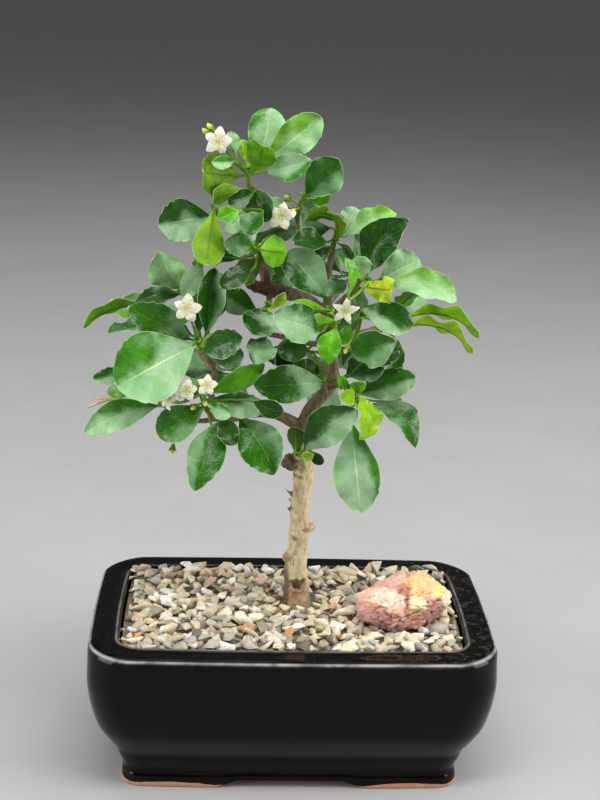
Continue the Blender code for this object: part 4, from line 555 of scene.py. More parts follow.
@dataclass
class BladeForm:
    """The surface of one blade: a folded, arched and softly waved outline.

    Its ends are in metres, its width, thickness and wave in millimetres, its fold and twist in
    degrees. Arch, droop and bend are shares of its length, lean and tooth of its half width.
    """

    base: Vector
    tip: Vector
    normal: Vector
    width: float
    arch: float = 0.08
    fold: float = 16.0
    thickness: float = 0.32
    wave: float = 0.0
    tooth: float = 0.0
    droop: float = 0.0
    bend: float = 0.0
    keen: float = 0.0
    twist: float = 0.0
    lean: float = 0.0
    number: float = 0.5
    outline: Outline = Outline.LEAF

    def __post_init__(self) -> None:
        """Work out the directions that the surface is laid along."""
        self.chord = self.tip - self.base
        self.length = self.chord.length
        self.along = self.chord.normalized()
        self.up = (self.normal - self.along * self.normal.dot(self.along)).normalized()
        self.across = self.along.cross(self.up)
        self.rise = math.tan(math.radians(self.fold))

    def spine(self, share: float) -> Vector:
        """Return the midrib's place at a share of the length.

        Args:
            share: Share of the length.

        Returns:
            The place in metres.
        """
        bow = 4.0 * share * (1.0 - share) * self.length
        lift = self.arch * bow - self.droop * self.length * max(0.0, share - 0.55) ** 2
        return self.base + self.chord * share + self.up * lift + self.across * self.bend * bow

    def half_at(self, across: float, share: float) -> float:
        """Return the half width, with the lean and the notches near the tip.

        Args:
            across: Side of the midrib, by its sign.
            share: Share of the length.

        Returns:
            The half width in millimetres.
        """
        half = self.width * 0.5 * self.outline.half_width(share, self.keen)
        half *= 1.0 + math.copysign(self.lean, across) * math.sin(math.pi * share)
        if self.tooth and share > 0.6:
            notch = 0.5 + 0.5 * math.cos(FULL_TURN * (share * 8.0 + self.number * 3.0))
            half *= 1.0 - self.tooth * notch * smooth_step((share - 0.6) / 0.12)
        return half

    def point(self, across: float, along: float) -> Vector:
        """Return the surface's place.

        Args:
            across: From -1 at the left margin to 1 at the right one.
            along: From 0 at the base to 1 at the tip.

        Returns:
            The place in metres.
        """
        share = min(along, 0.9985)
        half = self.half_at(across, share)
        lift = half * self.rise * (math.sqrt(across * across + 0.03) - 0.1732) / 0.8417
        swing = FULL_TURN * (2.6 * share + 5.0 * self.number) + (0.9 if across > 0.0 else 0.0)
        lift += self.wave * math.sin(swing) * across * across * smooth_step(share * 4.0)
        ripple = math.cos(14.0 * math.pi * share - 9.0 * abs(across))
        lift -= 0.10 * self.wave * ripple * (1.0 - abs(across))
        turn = math.radians(self.twist) * (share - 0.2)
        side = self.across * math.cos(turn) + self.up * math.sin(turn)
        above = self.up * math.cos(turn) - self.across * math.sin(turn)
        return self.spine(share) + (side * across * half + above * lift) * MM


class Piece:
    """A visible piece under work: its mesh, with a tint and a form value at each point.

    The tint holds a colour and, last, how much painted sheen lies on a leaf, how flaky bark is or how dark
    and pitted stone is.
    The form holds the place across and along a blade, a number of its own, and what kind of surface it is.
    """

    def __init__(self, name: str) -> None:
        """Start an empty piece.

        Args:
            name: The piece's name.
        """
        self.name = name
        self.work = bmesh.new()
        self.tint = self.work.verts.layers.float_color.new("tint")
        self.form = self.work.verts.layers.float_color.new("form")
        self.place = self.work.verts.layers.int.new("place")

    def loft(self, rings: list[list[Vector]], closed: bool = True) -> list[list]:
        """Extrude a ring of points through all the others.

        Args:
            rings: Outlines of equally many points.
            closed: Whether both ends are filled.

        Returns:
            The points of each ring.
        """
        ring = bmesh.ops.create_circle(self.work, cap_ends=False, segments=len(rings[0]), radius=1.0)["verts"]
        for index, vertex in enumerate(ring):
            vertex[self.place] = index
            vertex.co = rings[0][index]
        edges = first_edges = list(dict.fromkeys(edge for vertex in ring for edge in vertex.link_edges))
        rows = [ring]
        for outline in rings[1:]:
            grown = bmesh.ops.extrude_edge_only(self.work, edges=edges)["geom"]
            ring = [item for item in grown if isinstance(item, bmesh.types.BMVert)]
            edges = [item for item in grown if isinstance(item, bmesh.types.BMEdge)]
            for vertex in ring:
                vertex.co = outline[vertex[self.place]]
            rows.append(sorted(ring, key=lambda vertex: vertex[self.place]))
        if closed:
            bmesh.ops.edgeloop_fill(self.work, edges=first_edges)
            bmesh.ops.edgeloop_fill(self.work, edges=edges)
        return rows

    def sweep(self, path: list[Vector], radii: list[float], sides: int) -> list[list]:
        """Sweep a round section along a path.

        Args:
            path: Places in metres.
            radii: A radius in millimetres for each place.
            sides: Points round the section.

        Returns:
            The points of each ring.
        """
        side = (path[1] - path[0]).normalized().orthogonal().normalized()
        rings = []
        for index, (point, radius) in enumerate(zip(path, radii)):
            onward = path[min(len(path) - 1, index + 1)] - path[max(0, index - 1)]
            side = (side - onward * side.dot(onward) / onward.length_squared).normalized()
            up = onward.cross(side).normalized()
            turns = [FULL_TURN * step / sides for step in range(sides)]
            rings.append([
                point + (side * math.cos(turn) + up * math.sin(turn)) * radius * MM for turn in turns
            ])
        return self.loft(rings)

    def paint(self, rows: list, tint: Colour, kind: float, along: float | None = None) -> None:
        """Give every point of some rings one tint and kind.

        Args:
            rows: The points of each ring.
            tint: Their colour.
            kind: What kind of surface they are.
            along: One place along for them all, instead of each ring's own.
        """
        for index, row in enumerate(rows):
            share = index / len(rows) if along is None else along
            for vertex in row:
                vertex[self.tint] = (*tint, 0.0)
                vertex[self.form] = (0.5, share, 0.5, kind)

    def blade(self, form: BladeForm, columns: int, rows: int, tint: Colour = (0.0, 0.0, 0.0),
              bloom: float = 0.0) -> tuple[list, list]:
        """Grow one thin blade from a grid, its cells closer at the margin and the tip.

        Args:
            form: Where its surface lies.
            columns: Grid cells across it.
            rows: Grid cells along it.
            tint: Its colour.
            bloom: How much painted sheen, a painted reflection of the sky, lies on it.

        Returns:
            The points of its upper and under faces.
        """
        grid = bmesh.ops.create_grid(self.work, x_segments=columns, y_segments=rows, size=0.5)["verts"]
        faces = list({face for vertex in grid for face in vertex.link_faces})
        for index, vertex in enumerate(grid):
            across = vertex.co.x * 2.0
            across = math.copysign(1.0 - (1.0 - abs(across)) ** 1.25, across)
            along = 1.0 - (1.0 - (vertex.co.y + 0.5)) ** 1.45
            vertex[self.place] = index
            vertex[self.tint] = (*tint, bloom)
            vertex[self.form] = (across * 0.5 + 0.5, along, form.number, 1.0)
            vertex.co = form.point(across, along)
        for face in faces:
            face.normal_update()
        normals = []
        for vertex in grid:
            vertex.normal_update()
            normals.append(vertex.normal.copy())
        grown = bmesh.ops.extrude_face_region(self.work, geom=faces)["geom"]
        upper = [item for item in grown if isinstance(item, bmesh.types.BMVert)]
        for half, group in ((0.5, upper), (-0.5, grid)):
            for vertex in group:
                across, along = vertex[self.form][0] * 2.0 - 1.0, vertex[self.form][1]
                thick = form.thickness * (1.0 - 0.5 * max(abs(across), along) ** 6)
                vertex.co += normals[vertex[self.place]] * half * thick * MM
        return upper, grid


class Signal:
    """A value in a node tree, which can be reckoned with like a number."""

    def __init__(self, graph: "Graph", socket: Socket) -> None:
        """Hold the output that carries it."""
        self.graph = graph
        self.socket = socket

    def __add__(self, other: object) -> "Signal":
        """Return the sum."""
        return self.graph.math("ADD", self, other)

    def __sub__(self, other: object) -> "Signal":
        """Return the difference."""
        return self.graph.math("SUBTRACT", self, other)

    def __mul__(self, other: object) -> "Signal":
        """Return the product."""
        return self.graph.math("MULTIPLY", self, other)

    def __abs__(self) -> "Signal":
        """Return the value without its sign."""
        return self.graph.math("ABSOLUTE", self)


class Graph:
    """A node tree with short calls for what the finishes use."""

    def __init__(self, tree: bpy.types.NodeTree, effects: "SharedEffects | None" = None) -> None:
        """Hold a node tree and the shared effects that it may use."""
        self.tree = tree
        self.effects = effects

    def feed(self, socket: Socket, value: object) -> None:
        """Link a value to a socket, or set the socket's own.

        Args:
            socket: The input.
            value: A signal, a number, a vector or a colour.
        """
        if isinstance(value, Signal):
            self.tree.links.new(value.socket, socket)
        elif socket.type == "RGBA":
            socket.default_value = (*value, 1.0)
        else:
            socket.default_value = value

    def add(self, kind: str, feeds: dict, **settings: object) -> bpy.types.Node:
        """Add a node.

        Args:
            kind: The node's type.
            feeds: What feeds its inputs, by name or number.
            settings: Its own properties.

        Returns:
            The node.
        """
        node = self.tree.nodes.new(kind)
        for name, value in settings.items():
            setattr(node, name, value)
        for name, value in feeds.items():
            self.feed(node.inputs[name], value)
        return node

    def read(self, node: bpy.types.Node, output: object = 0) -> Signal:
        """Return one of a node's outputs."""
        return Signal(self, node.outputs[output])

    def math(self, operation: str, first: object, second: object = 0.0) -> Signal:
        """Return the result of a Math node."""
        return self.read(self.add("ShaderNodeMath", {0: first, 1: second}, operation=operation))

    def most(self, first: object, second: object) -> Signal:
        """Return the larger of two values."""
        return self.math("MAXIMUM", first, second)

    def mix(self, share: object, first: object, second: object, blend: str = "MIX") -> Signal:
        """Return two colours mixed."""
        feeds = {0: share, 6: first, 7: second}
        return self.read(self.add("ShaderNodeMix", feeds, data_type="RGBA", blend_type=blend), 2)

    def stain(self, colour: Signal, by: Colour) -> Signal:
        """Return a colour multiplied by another."""
        return self.mix(1.0, colour, by, "MULTIPLY")

    def span(self, value: object, low: object, high: object, start: float = 0.0, end: float = 1.0) -> Signal:
        """Return a value mapped softly from one span to another."""
        feeds = dict(enumerate((value, low, high, start, end)))
        return self.read(self.add("ShaderNodeMapRange", feeds, interpolation_type="SMOOTHSTEP"))

    def noise(self, vector: Signal, scale: object, detail: float = 3.0, rough: float = 0.55) -> Signal:
        """Return a cloudy value between 0 and 1."""
        feeds = {"Vector": vector, "Scale": scale, "Detail": detail, "Roughness": rough}
        return self.read(self.add("ShaderNodeTexNoise", feeds))

    def place(self, x: float = 1.0, y: float = 1.0, z: float = 1.0) -> Signal:
        """Return the object's own coordinates, stretched."""
        coordinates = self.read(self.add("ShaderNodeTexCoord", {}), "Object")
        return self.read(self.add("ShaderNodeMapping", {"Vector": coordinates, "Scale": (x, y, z)}))

    def channels(self, colour: Signal) -> list[Signal]:
        """Return a colour's three channels."""
        node = self.add("ShaderNodeSeparateColor", {0: colour})
        return [self.read(node, number) for number in range(3)]

    def attribute(self, name: str) -> tuple:
        """Return an attribute's three channels, its colour and its last channel."""
        node = self.add("ShaderNodeAttribute", {}, attribute_name=name)
        return (*self.channels(self.read(node, "Color")), self.read(node, "Color"), self.read(node, "Alpha"))

    def use(self, group: bpy.types.NodeTree, *values: object) -> Signal:
        """Place a shared group and feed its inputs in order."""
        return self.read(self.add("ShaderNodeGroup", dict(enumerate(values)), node_tree=group))

    def mottle(self, vector: Signal, scale: float, spread: float) -> Signal:
        """Return the shared soft patches."""
        return self.use(self.effects.mottle, vector, scale, spread)

    def specks(self, vector: Signal, scale: float, amount: float) -> Signal:
        """Return the shared fine specks."""
        return self.use(self.effects.specks, vector, scale, amount)

    def bump(self, height: Signal, strength: float, distance: float) -> Signal:
        """Return a normal raised by a height."""
        feeds = {"Strength": strength, "Distance": distance, "Height": height}
        return self.read(self.add("ShaderNodeBump", feeds))


class SharedEffects:
    """Node groups that several finishes use, each built once: mottling and fine specks."""

    def __init__(self) -> None:
        """Build every group."""
        self.mottle = self.group("mottle", "Spread", self.mottled)
        self.specks = self.group("specks", "Amount", self.specked)

    def group(self, name: str, degree: str, pattern: Callable) -> bpy.types.NodeTree:
        """Build a group that turns a vector, a scale and a degree into one mask.

        Args:
            name: The group's name.
            degree: The name of its third input.
            pattern: What makes the mask from the graph and the three inputs.

        Returns:
            The group.
        """
        tree = bpy.data.node_groups.new(name, "ShaderNodeTree")
        for socket, kind in (("Vector", "Vector"), ("Scale", "Float"), (degree, "Float")):
            tree.interface.new_socket(socket, in_out="INPUT", socket_type="NodeSocket" + kind)
        tree.interface.new_socket("Mask", in_out="OUTPUT", socket_type="NodeSocketFloat")
        graph = Graph(tree)
        given = graph.add("NodeGroupInput", {})
        mask = pattern(graph, *(graph.read(given, number) for number in range(3)))
        graph.add("NodeGroupOutput", {"Mask": mask})
        return tree

    def mottled(self, graph: Graph, vector: Signal, scale: Signal, spread: Signal) -> Signal:
        """Return soft patches: a cloudy value with its contrast raised."""
        clouds = graph.noise(vector, scale, 4.0, 0.6)
        return graph.span(clouds, graph.math("SUBTRACT", 0.5, spread), spread + 0.5)

    def specked(self, graph: Graph, vector: Signal, scale: Signal, amount: Signal) -> Signal:
        """Return scattered round specks of uneven size.

        Args:
            graph: The group's tree.
            vector: Where the specks are looked up.
            scale: How fine they are.
            amount: How large they are.

        Returns:
            The mask.
        """
        cells = graph.add("ShaderNodeTexVoronoi", {"Vector": vector, "Scale": scale})
        reach = graph.channels(graph.read(cells, "Color"))[0] * 0.62 * amount
        return graph.span(reach - graph.read(cells, "Distance"), -0.03, 0.07)


@dataclass(frozen=True)
class Finish:
    """Common ground of the finishes: a named material over the shared effects."""

    name: str
    effects: SharedEffects

    def build(self) -> bpy.types.Material:
        """Return the material, its shader fed by the finish's layers.

        Returns:
            The material.
        """
        found = bpy.data.materials.new(self.name)
        found.use_nodes = True
        graph = Graph(found.node_tree, self.effects)
        shader = found.node_tree.nodes["Principled BSDF"]
        for name, value in self.layers(graph).items():
            graph.feed(shader.inputs[name], value)
        return found

    def layers(self, graph: Graph) -> dict[str, object]:
        """Return what feeds each of the shader's inputs.

        Args:
            graph: The material's tree.

        Returns:
            A signal, number or colour under each input's name.
        """
        raise NotImplementedError


@dataclass(frozen=True)
class LeafFinish(Finish):
    """Glossy leaves with veins, mottling and a pale painted sheen, a painted reflection of the sky; also
    green stalks and buds.
    """

    # Colour of the painted sheen, a painted reflection of the sky on the upper faces
    bloom_colour: Colour = (0.27, 0.55, 0.23)
    margin_colour: Colour = (0.5, 0.68, 0.34)
    # The dust colour tints the fine pale dots and also pales the painted sheen
    dust_colour: Colour = (0.62, 0.78, 0.6)

    def layers(self, graph: Graph) -> dict[str, object]:
        """Return what feeds each of the shader's inputs.

        Args:
            graph: The material's tree.

        Returns:
            What feeds each input, by its name.
        """
        across, along, number, _, kind = graph.attribute("form")
        *_, tint, bloom = graph.attribute("tint")
        place = graph.place()
        upper = graph.span(kind, 0.6, 0.9)
        centred = across - 0.5
        away = abs(centred)
        # Uneven green, fresher towards the stalk
        patches = graph.mottle(place, 170.0, 0.20)
        low = graph.stain(tint, (0.54, 0.64, 0.4))
        colour = graph.mix(patches, low, graph.stain(tint, (1.15, 1.12, 1.0)))
        fresh = graph.stain(colour, (1.7, 1.5, 0.8))
        colour = graph.mix(graph.span(along, 0.0, 0.45, 0.6, 0.0), colour, fresh)
        # Painted sheen, a pale painted reflection of the sky that lies heavier on one side of each leaf, and
        # fine pale dots
        fine = graph.noise(place, 1300.0, 2.0, 0.5)
        angle = number * FULL_TURN
        bias = centred * graph.math("COSINE", angle) + (along - 0.45) * graph.math("SINE", angle) * 0.6
        clouds = graph.noise(place, 80.0) + bias + (fine - 0.5) * 0.14 + (bloom - 0.5) * 0.58
        sheen_mask = graph.span(clouds, 0.46, 0.74) * (bloom * upper)
        patchy_sheen = graph.mix(patches, self.bloom_colour, graph.mix(0.55, self.bloom_colour, self.dust_colour))
        colour = graph.mix(sheen_mask * 0.85, colour, patchy_sheen)
        dots = graph.specks(place, 1300.0, 0.34) * (upper * graph.span(away, 0.1, 0.48, 0.3, 1.0))
        colour = graph.mix(dots * 0.5, colour, self.dust_colour)
        # Midrib, swept veins and pale margin
        rib = graph.span(away, 0.006, 0.026, 1.0, 0.0) * graph.span(along, 0.70, 0.96, 1.0, 0.1)
        swept = along * 7.5 - away * 4.6 + graph.math("GREATER_THAN", centred, 0.0) * 0.4
        vein = abs(graph.math("FRACT", swept) - 0.5)
        vein = graph.span(vein, 0.44, 0.49) * graph.span(away, 0.30, 0.47, 1.0, 0.0)
        blade = graph.math("GREATER_THAN", kind, 0.4)
        lines = graph.most(rib, vein * 0.30) * blade
        colour = graph.mix(lines * 0.55, colour, graph.stain(colour, (2.2, 1.9, 1.4)))
        edge = graph.most(graph.span(away, 0.476, 0.496), graph.span(along, 0.976, 0.996))
        colour = graph.mix(edge * blade * 0.6, colour, self.margin_colour)
        quilt = graph.noise(place, 360.0, 2.0) * 0.9
        height = fine * 0.10 - lines + patches * 0.8 + quilt * upper
        return {
            "Base Color": colour,
            "Roughness": graph.span(kind, 0.55, 0.95, 0.55, 0.24) + sheen_mask * 0.16,
            "Normal": graph.bump(height, 0.6, 0.0003),
            "Specular IOR Level": 0.29,
        }


@dataclass(frozen=True)
class BarkFinish(Finish):
    """Smooth tan bark over the painted zones, with fine cracks and pale flakes."""

    crack_colour: Colour = (0.1, 0.06, 0.032)
    flake_colour: Colour = (0.78, 0.68, 0.48)

    def layers(self, graph: Graph) -> dict[str, object]:
        """Return what feeds each of the shader's inputs.

        Args:
            graph: The material's tree.

        Returns:
            What feeds each input, by its name.
        """
        *_, tint, dust = graph.attribute("tint")
        drawn_out = graph.place(z=0.34)
        patches = graph.mottle(drawn_out, 330.0, 0.16)
        colour = graph.mix(patches, graph.stain(tint, (0.72, 0.66, 0.58)), tint)
        flakes = graph.mottle(drawn_out, 800.0, 0.08) * dust
        colour = graph.mix(flakes * 0.5, colour, self.flake_colour)
        fibres = graph.noise(graph.place(z=0.16), 1500.0, 4.0, 0.62)
        cracks = graph.span(fibres, 0.30, 0.41, 1.0, 0.0)
        colour = graph.mix(cracks * 0.72, colour, self.crack_colour)
        pits = graph.specks(graph.place(), 760.0, 0.34)
        height = fibres * 0.7 + flakes * 0.35 - pits * 0.6
        return {
            "Base Color": graph.mix(pits * 0.5, colour, self.crack_colour),
            "Roughness": graph.span(fibres, 0.3, 0.7, 0.90, 0.66),
            "Normal": graph.bump(height, 0.7, 0.0004),
        }


@dataclass(frozen=True)
class GlazeFinish(Finish):
    """Black glaze, brown where thin, with a pale painted highlight along the rim's edges, over bare orange
    clay at the feet.
    """

    glaze_colour: Colour = (0.0012, 0.001, 0.0012)
    thin_colour: Colour = (0.016, 0.007, 0.004)
    # Colour of the painted highlight along the rim's edges
    rim_highlight_colour: Colour = (0.42, 0.41, 0.39)
    dust_colour: Colour = (0.42, 0.38, 0.33)
    clay_colour: Colour = (0.6, 0.3, 0.19)
    grog_colour: Colour = (0.5, 0.23, 0.14)

    def layers(self, graph: Graph) -> dict[str, object]:
        """Return what feeds each of the shader's inputs.

        Args:
            graph: The material's tree.

        Returns:
            What feeds each input, by its name.
        """
        clay, thin, dusty, _, edge = graph.attribute("form")
        place = graph.place()
        clouds = graph.noise(place, 90.0, 4.0)
        colour = graph.mix(thin * graph.span(clouds, 0.40, 0.62), self.glaze_colour, self.thin_colour)
        # Painted highlight: a pale, broken line along the rim's outer and inner edges, where light glints on
        # the glaze
        broken = edge * graph.span(graph.noise(place, 130.0), 0.30, 0.62, 0.35, 1.0)
        colour = graph.mix(broken, colour, self.rim_highlight_colour)
        dots = graph.specks(place, 620.0, 0.30) * dusty
        dust = dusty * graph.span(graph.noise(place, 340.0, 5.0, 0.7), 0.48, 0.72)
        dust = graph.most(dust * 0.10, dots * 0.5)
        colour = graph.mix(dust, colour, self.dust_colour)
        bare = graph.span(clay + (clouds - 0.5) * 0.35, 0.44, 0.56)
        grog = graph.mottle(place, 700.0, 0.12)
        body = graph.mix(grog, self.clay_colour, self.grog_colour)
        rough = graph.span(graph.noise(place, 60.0), 0.3, 0.7, 0.05, 0.09)
        height = graph.noise(place, 110.0, 2.0) * 0.5 + grog * bare
        return {
            "Base Color": graph.mix(bare, colour, body),
            "Roughness": graph.most(graph.most(rough, dust * 0.6), bare * 0.85),
            "Normal": graph.bump(height, 0.3, 0.0004),
            "IOR": 1.45,
            "Specular IOR Level": 0.17,
        }


@dataclass(frozen=True)
class PebbleFinish(Finish):
    """Dull broken stone in the tint painted on each pebble, with dark and pale specks."""

    dark_colour: Colour = (0.1, 0.085, 0.07)
    pale_colour: Colour = (0.8, 0.75, 0.66)

    def layers(self, graph: Graph) -> dict[str, object]:
        """Return what feeds each of the shader's inputs.

        Args:
            graph: The material's tree.

        Returns:
            What feeds each input, by its name.
        """
        tint = graph.attribute("tint")[3]
        place = graph.place()
        patches = graph.mottle(place, 520.0, 0.16)
        colour = graph.mix(patches, graph.stain(tint, (0.8, 0.77, 0.72)), tint)
        colour = graph.mix(graph.specks(place, 1500.0, 0.5) * 0.28, colour, self.dark_colour)
        pale = graph.specks(graph.place(1.1, 1.3, 0.9), 1100.0, 0.6)
        return {
            "Base Color": graph.mix(pale * 0.35, colour, self.pale_colour),
            "Roughness": graph.span(patches, 0.0, 1.0, 0.92, 0.70),
            "Normal": graph.bump(graph.noise(place, 1300.0, 4.0, 0.65), 0.7, 0.0004),
        }


@dataclass(frozen=True)
class StoneFinish(Finish):
    """Pink, cream and yellow stone in layers, with dark pits and rusty seams."""

    seam_colour: Colour = (0.3, 0.09, 0.06)
    pit_colour: Colour = (0.12, 0.04, 0.04)

    def layers(self, graph: Graph) -> dict[str, object]:
        """Return what feeds each of the shader's inputs.

        Args:
            graph: The material's tree.

        Returns:
            What feeds each input, by its name.
        """
        *_, tint, shade = graph.attribute("tint")
        place = graph.place()
        patches = graph.mottle(place, 330.0, 0.14)
        colour = graph.mix(patches * 0.5, tint, graph.mix(0.5, tint, (0.9, 0.74, 0.6)))
        blush = graph.mottle(graph.place(1.3, 0.7), 620.0, 0.08)
        colour = graph.mix(blush * 0.38, colour, graph.stain(colour, (0.88, 0.52, 0.44)))
        seams = graph.noise(graph.place(z=2.4), 260.0, 5.0, 0.6)
        seam = graph.span(abs(seams - 0.5), 0.003, 0.018, 1.0, 0.0)
        colour = graph.mix(seam * 0.45, colour, self.seam_colour)
        pits = graph.specks(place, 560.0, 0.5) * graph.span(shade, 0.0, 0.6, 0.25, 1.0)
        rough = graph.noise(place, 700.0, 5.0, 0.65) + pits * -0.6
        return {
            "Base Color": graph.mix(pits * 0.6, colour, self.pit_colour),
            "Roughness": graph.span(patches, 0.0, 1.0, 0.80, 0.55),
            "Normal": graph.bump(rough, 0.9, 0.0007),
        }


@dataclass(frozen=True)
class PetalFinish(Finish):
    """Thin cream petals with faint veins and a yellow-green throat."""

    throat_colour: Colour = (0.66, 0.66, 0.2)
    line_colour: Colour = (0.58, 0.54, 0.34)
    cloud_colour: Colour = (0.66, 0.62, 0.44)

    def layers(self, graph: Graph) -> dict[str, object]:
        """Return what feeds each of the shader's inputs.

        Args:
            graph: The material's tree.

        Returns:
            What feeds each input, by its name.
        """
        across, along, _, _, kind = graph.attribute("form")
        tint = graph.attribute("tint")[3]
        petal = graph.math("GREATER_THAN", kind, 0.4)
        throat = graph.span(along, 0.0, 0.42, 0.8, 0.0) * petal
        colour = graph.mix(throat, tint, self.throat_colour)
        lines = graph.span(graph.math("SINE", across * 34.0), 0.6, 1.0) * petal
        colour = graph.mix(lines * 0.14, colour, self.line_colour)
        clouds = graph.mottle(graph.place(), 900.0, 0.2)
        return {
            "Base Color": graph.mix(clouds * 0.16, colour, self.cloud_colour),
            "Roughness": graph.span(clouds, 0.0, 1.0, 0.55, 0.68),
            "Normal": graph.bump(lines * -0.6 + clouds, 0.5, 0.0001),
        }


@dataclass(frozen=True)
class EarthFinish(Finish):
    """Damp crumbly soil, or the dull moulded plastic of the screens, from one recipe."""

    dark: Colour = (0.022, 0.014, 0.008)
    light: Colour = (0.085, 0.055, 0.032)
    scale: float = 900.0
    roughness: float = 0.95
    relief: float = 0.0012

    def layers(self, graph: Graph) -> dict[str, object]:
        """Return what feeds each of the shader's inputs.

        Args:
            graph: The material's tree.

        Returns:
            What feeds each input, by its name.
        """
        place = graph.place()
        crumbs = graph.mottle(place, self.scale, 0.14)
        dots = graph.specks(place, self.scale * 0.6, 0.5)
        colour = graph.mix(crumbs, self.dark, self.light)
        return {
            "Base Color": graph.mix(dots * 0.4, colour, graph.stain(colour, (1.8, 1.7, 1.6))),
            "Roughness": graph.span(crumbs, 0.0, 1.0, self.roughness - 0.12, self.roughness),
            "Normal": graph.bump(crumbs, 0.6, self.relief),
        }


@dataclass(frozen=True)
class FloorFinish(Finish):
    """Plain pale paint, hardly uneven."""

    first: Colour = (0.43, 0.43, 0.44)
    second: Colour = (0.46, 0.46, 0.47)

    def layers(self, graph: Graph) -> dict[str, object]:
        """Return what feeds each of the shader's inputs."""
        clouds = graph.mottle(graph.place(), 14.0, 0.25)
        return {"Base Color": graph.mix(clouds, self.first, self.second), "Roughness": 0.8}


@dataclass
class Assembly:
    """Common ground of the sub-assemblies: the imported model's shift in metres, and the finish they wear."""

    shift: Vector
    material: bpy.types.Material

    def finish(self, piece: Piece, slot: str, node: str, sharp: float = 55.0) -> None:
        """Turn a piece under work into an object of the model.

        Args:
            piece: The piece.
            slot: The record's material slot.
            node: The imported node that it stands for.
            sharp: Degrees past which an edge is shaded sharp.
        """
        work = piece.work
        bmesh.ops.translate(work, verts=work.verts, vec=self.shift)
        work.verts.layers.int.remove(work.verts.layers.int["place"])
        bmesh.ops.recalc_face_normals(work, faces=work.faces)
        self.show(mesh_of(work, piece.name), slot, node, sharp)

    def show(self, mesh: bpy.types.Mesh, slot: str, node: str, sharp: float) -> None:
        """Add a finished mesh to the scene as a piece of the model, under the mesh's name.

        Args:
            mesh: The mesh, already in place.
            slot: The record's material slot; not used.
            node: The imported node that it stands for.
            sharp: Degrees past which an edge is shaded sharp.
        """
        mesh.materials.append(self.material)
        mesh.shade_smooth()
        mesh.set_sharp_from_angle(angle=math.radians(sharp))
        made = new_object(mesh.name, mesh)
        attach(made, "root")
        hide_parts(node)
        LOG.info("%s: %d faces", made.name, len(mesh.polygons))


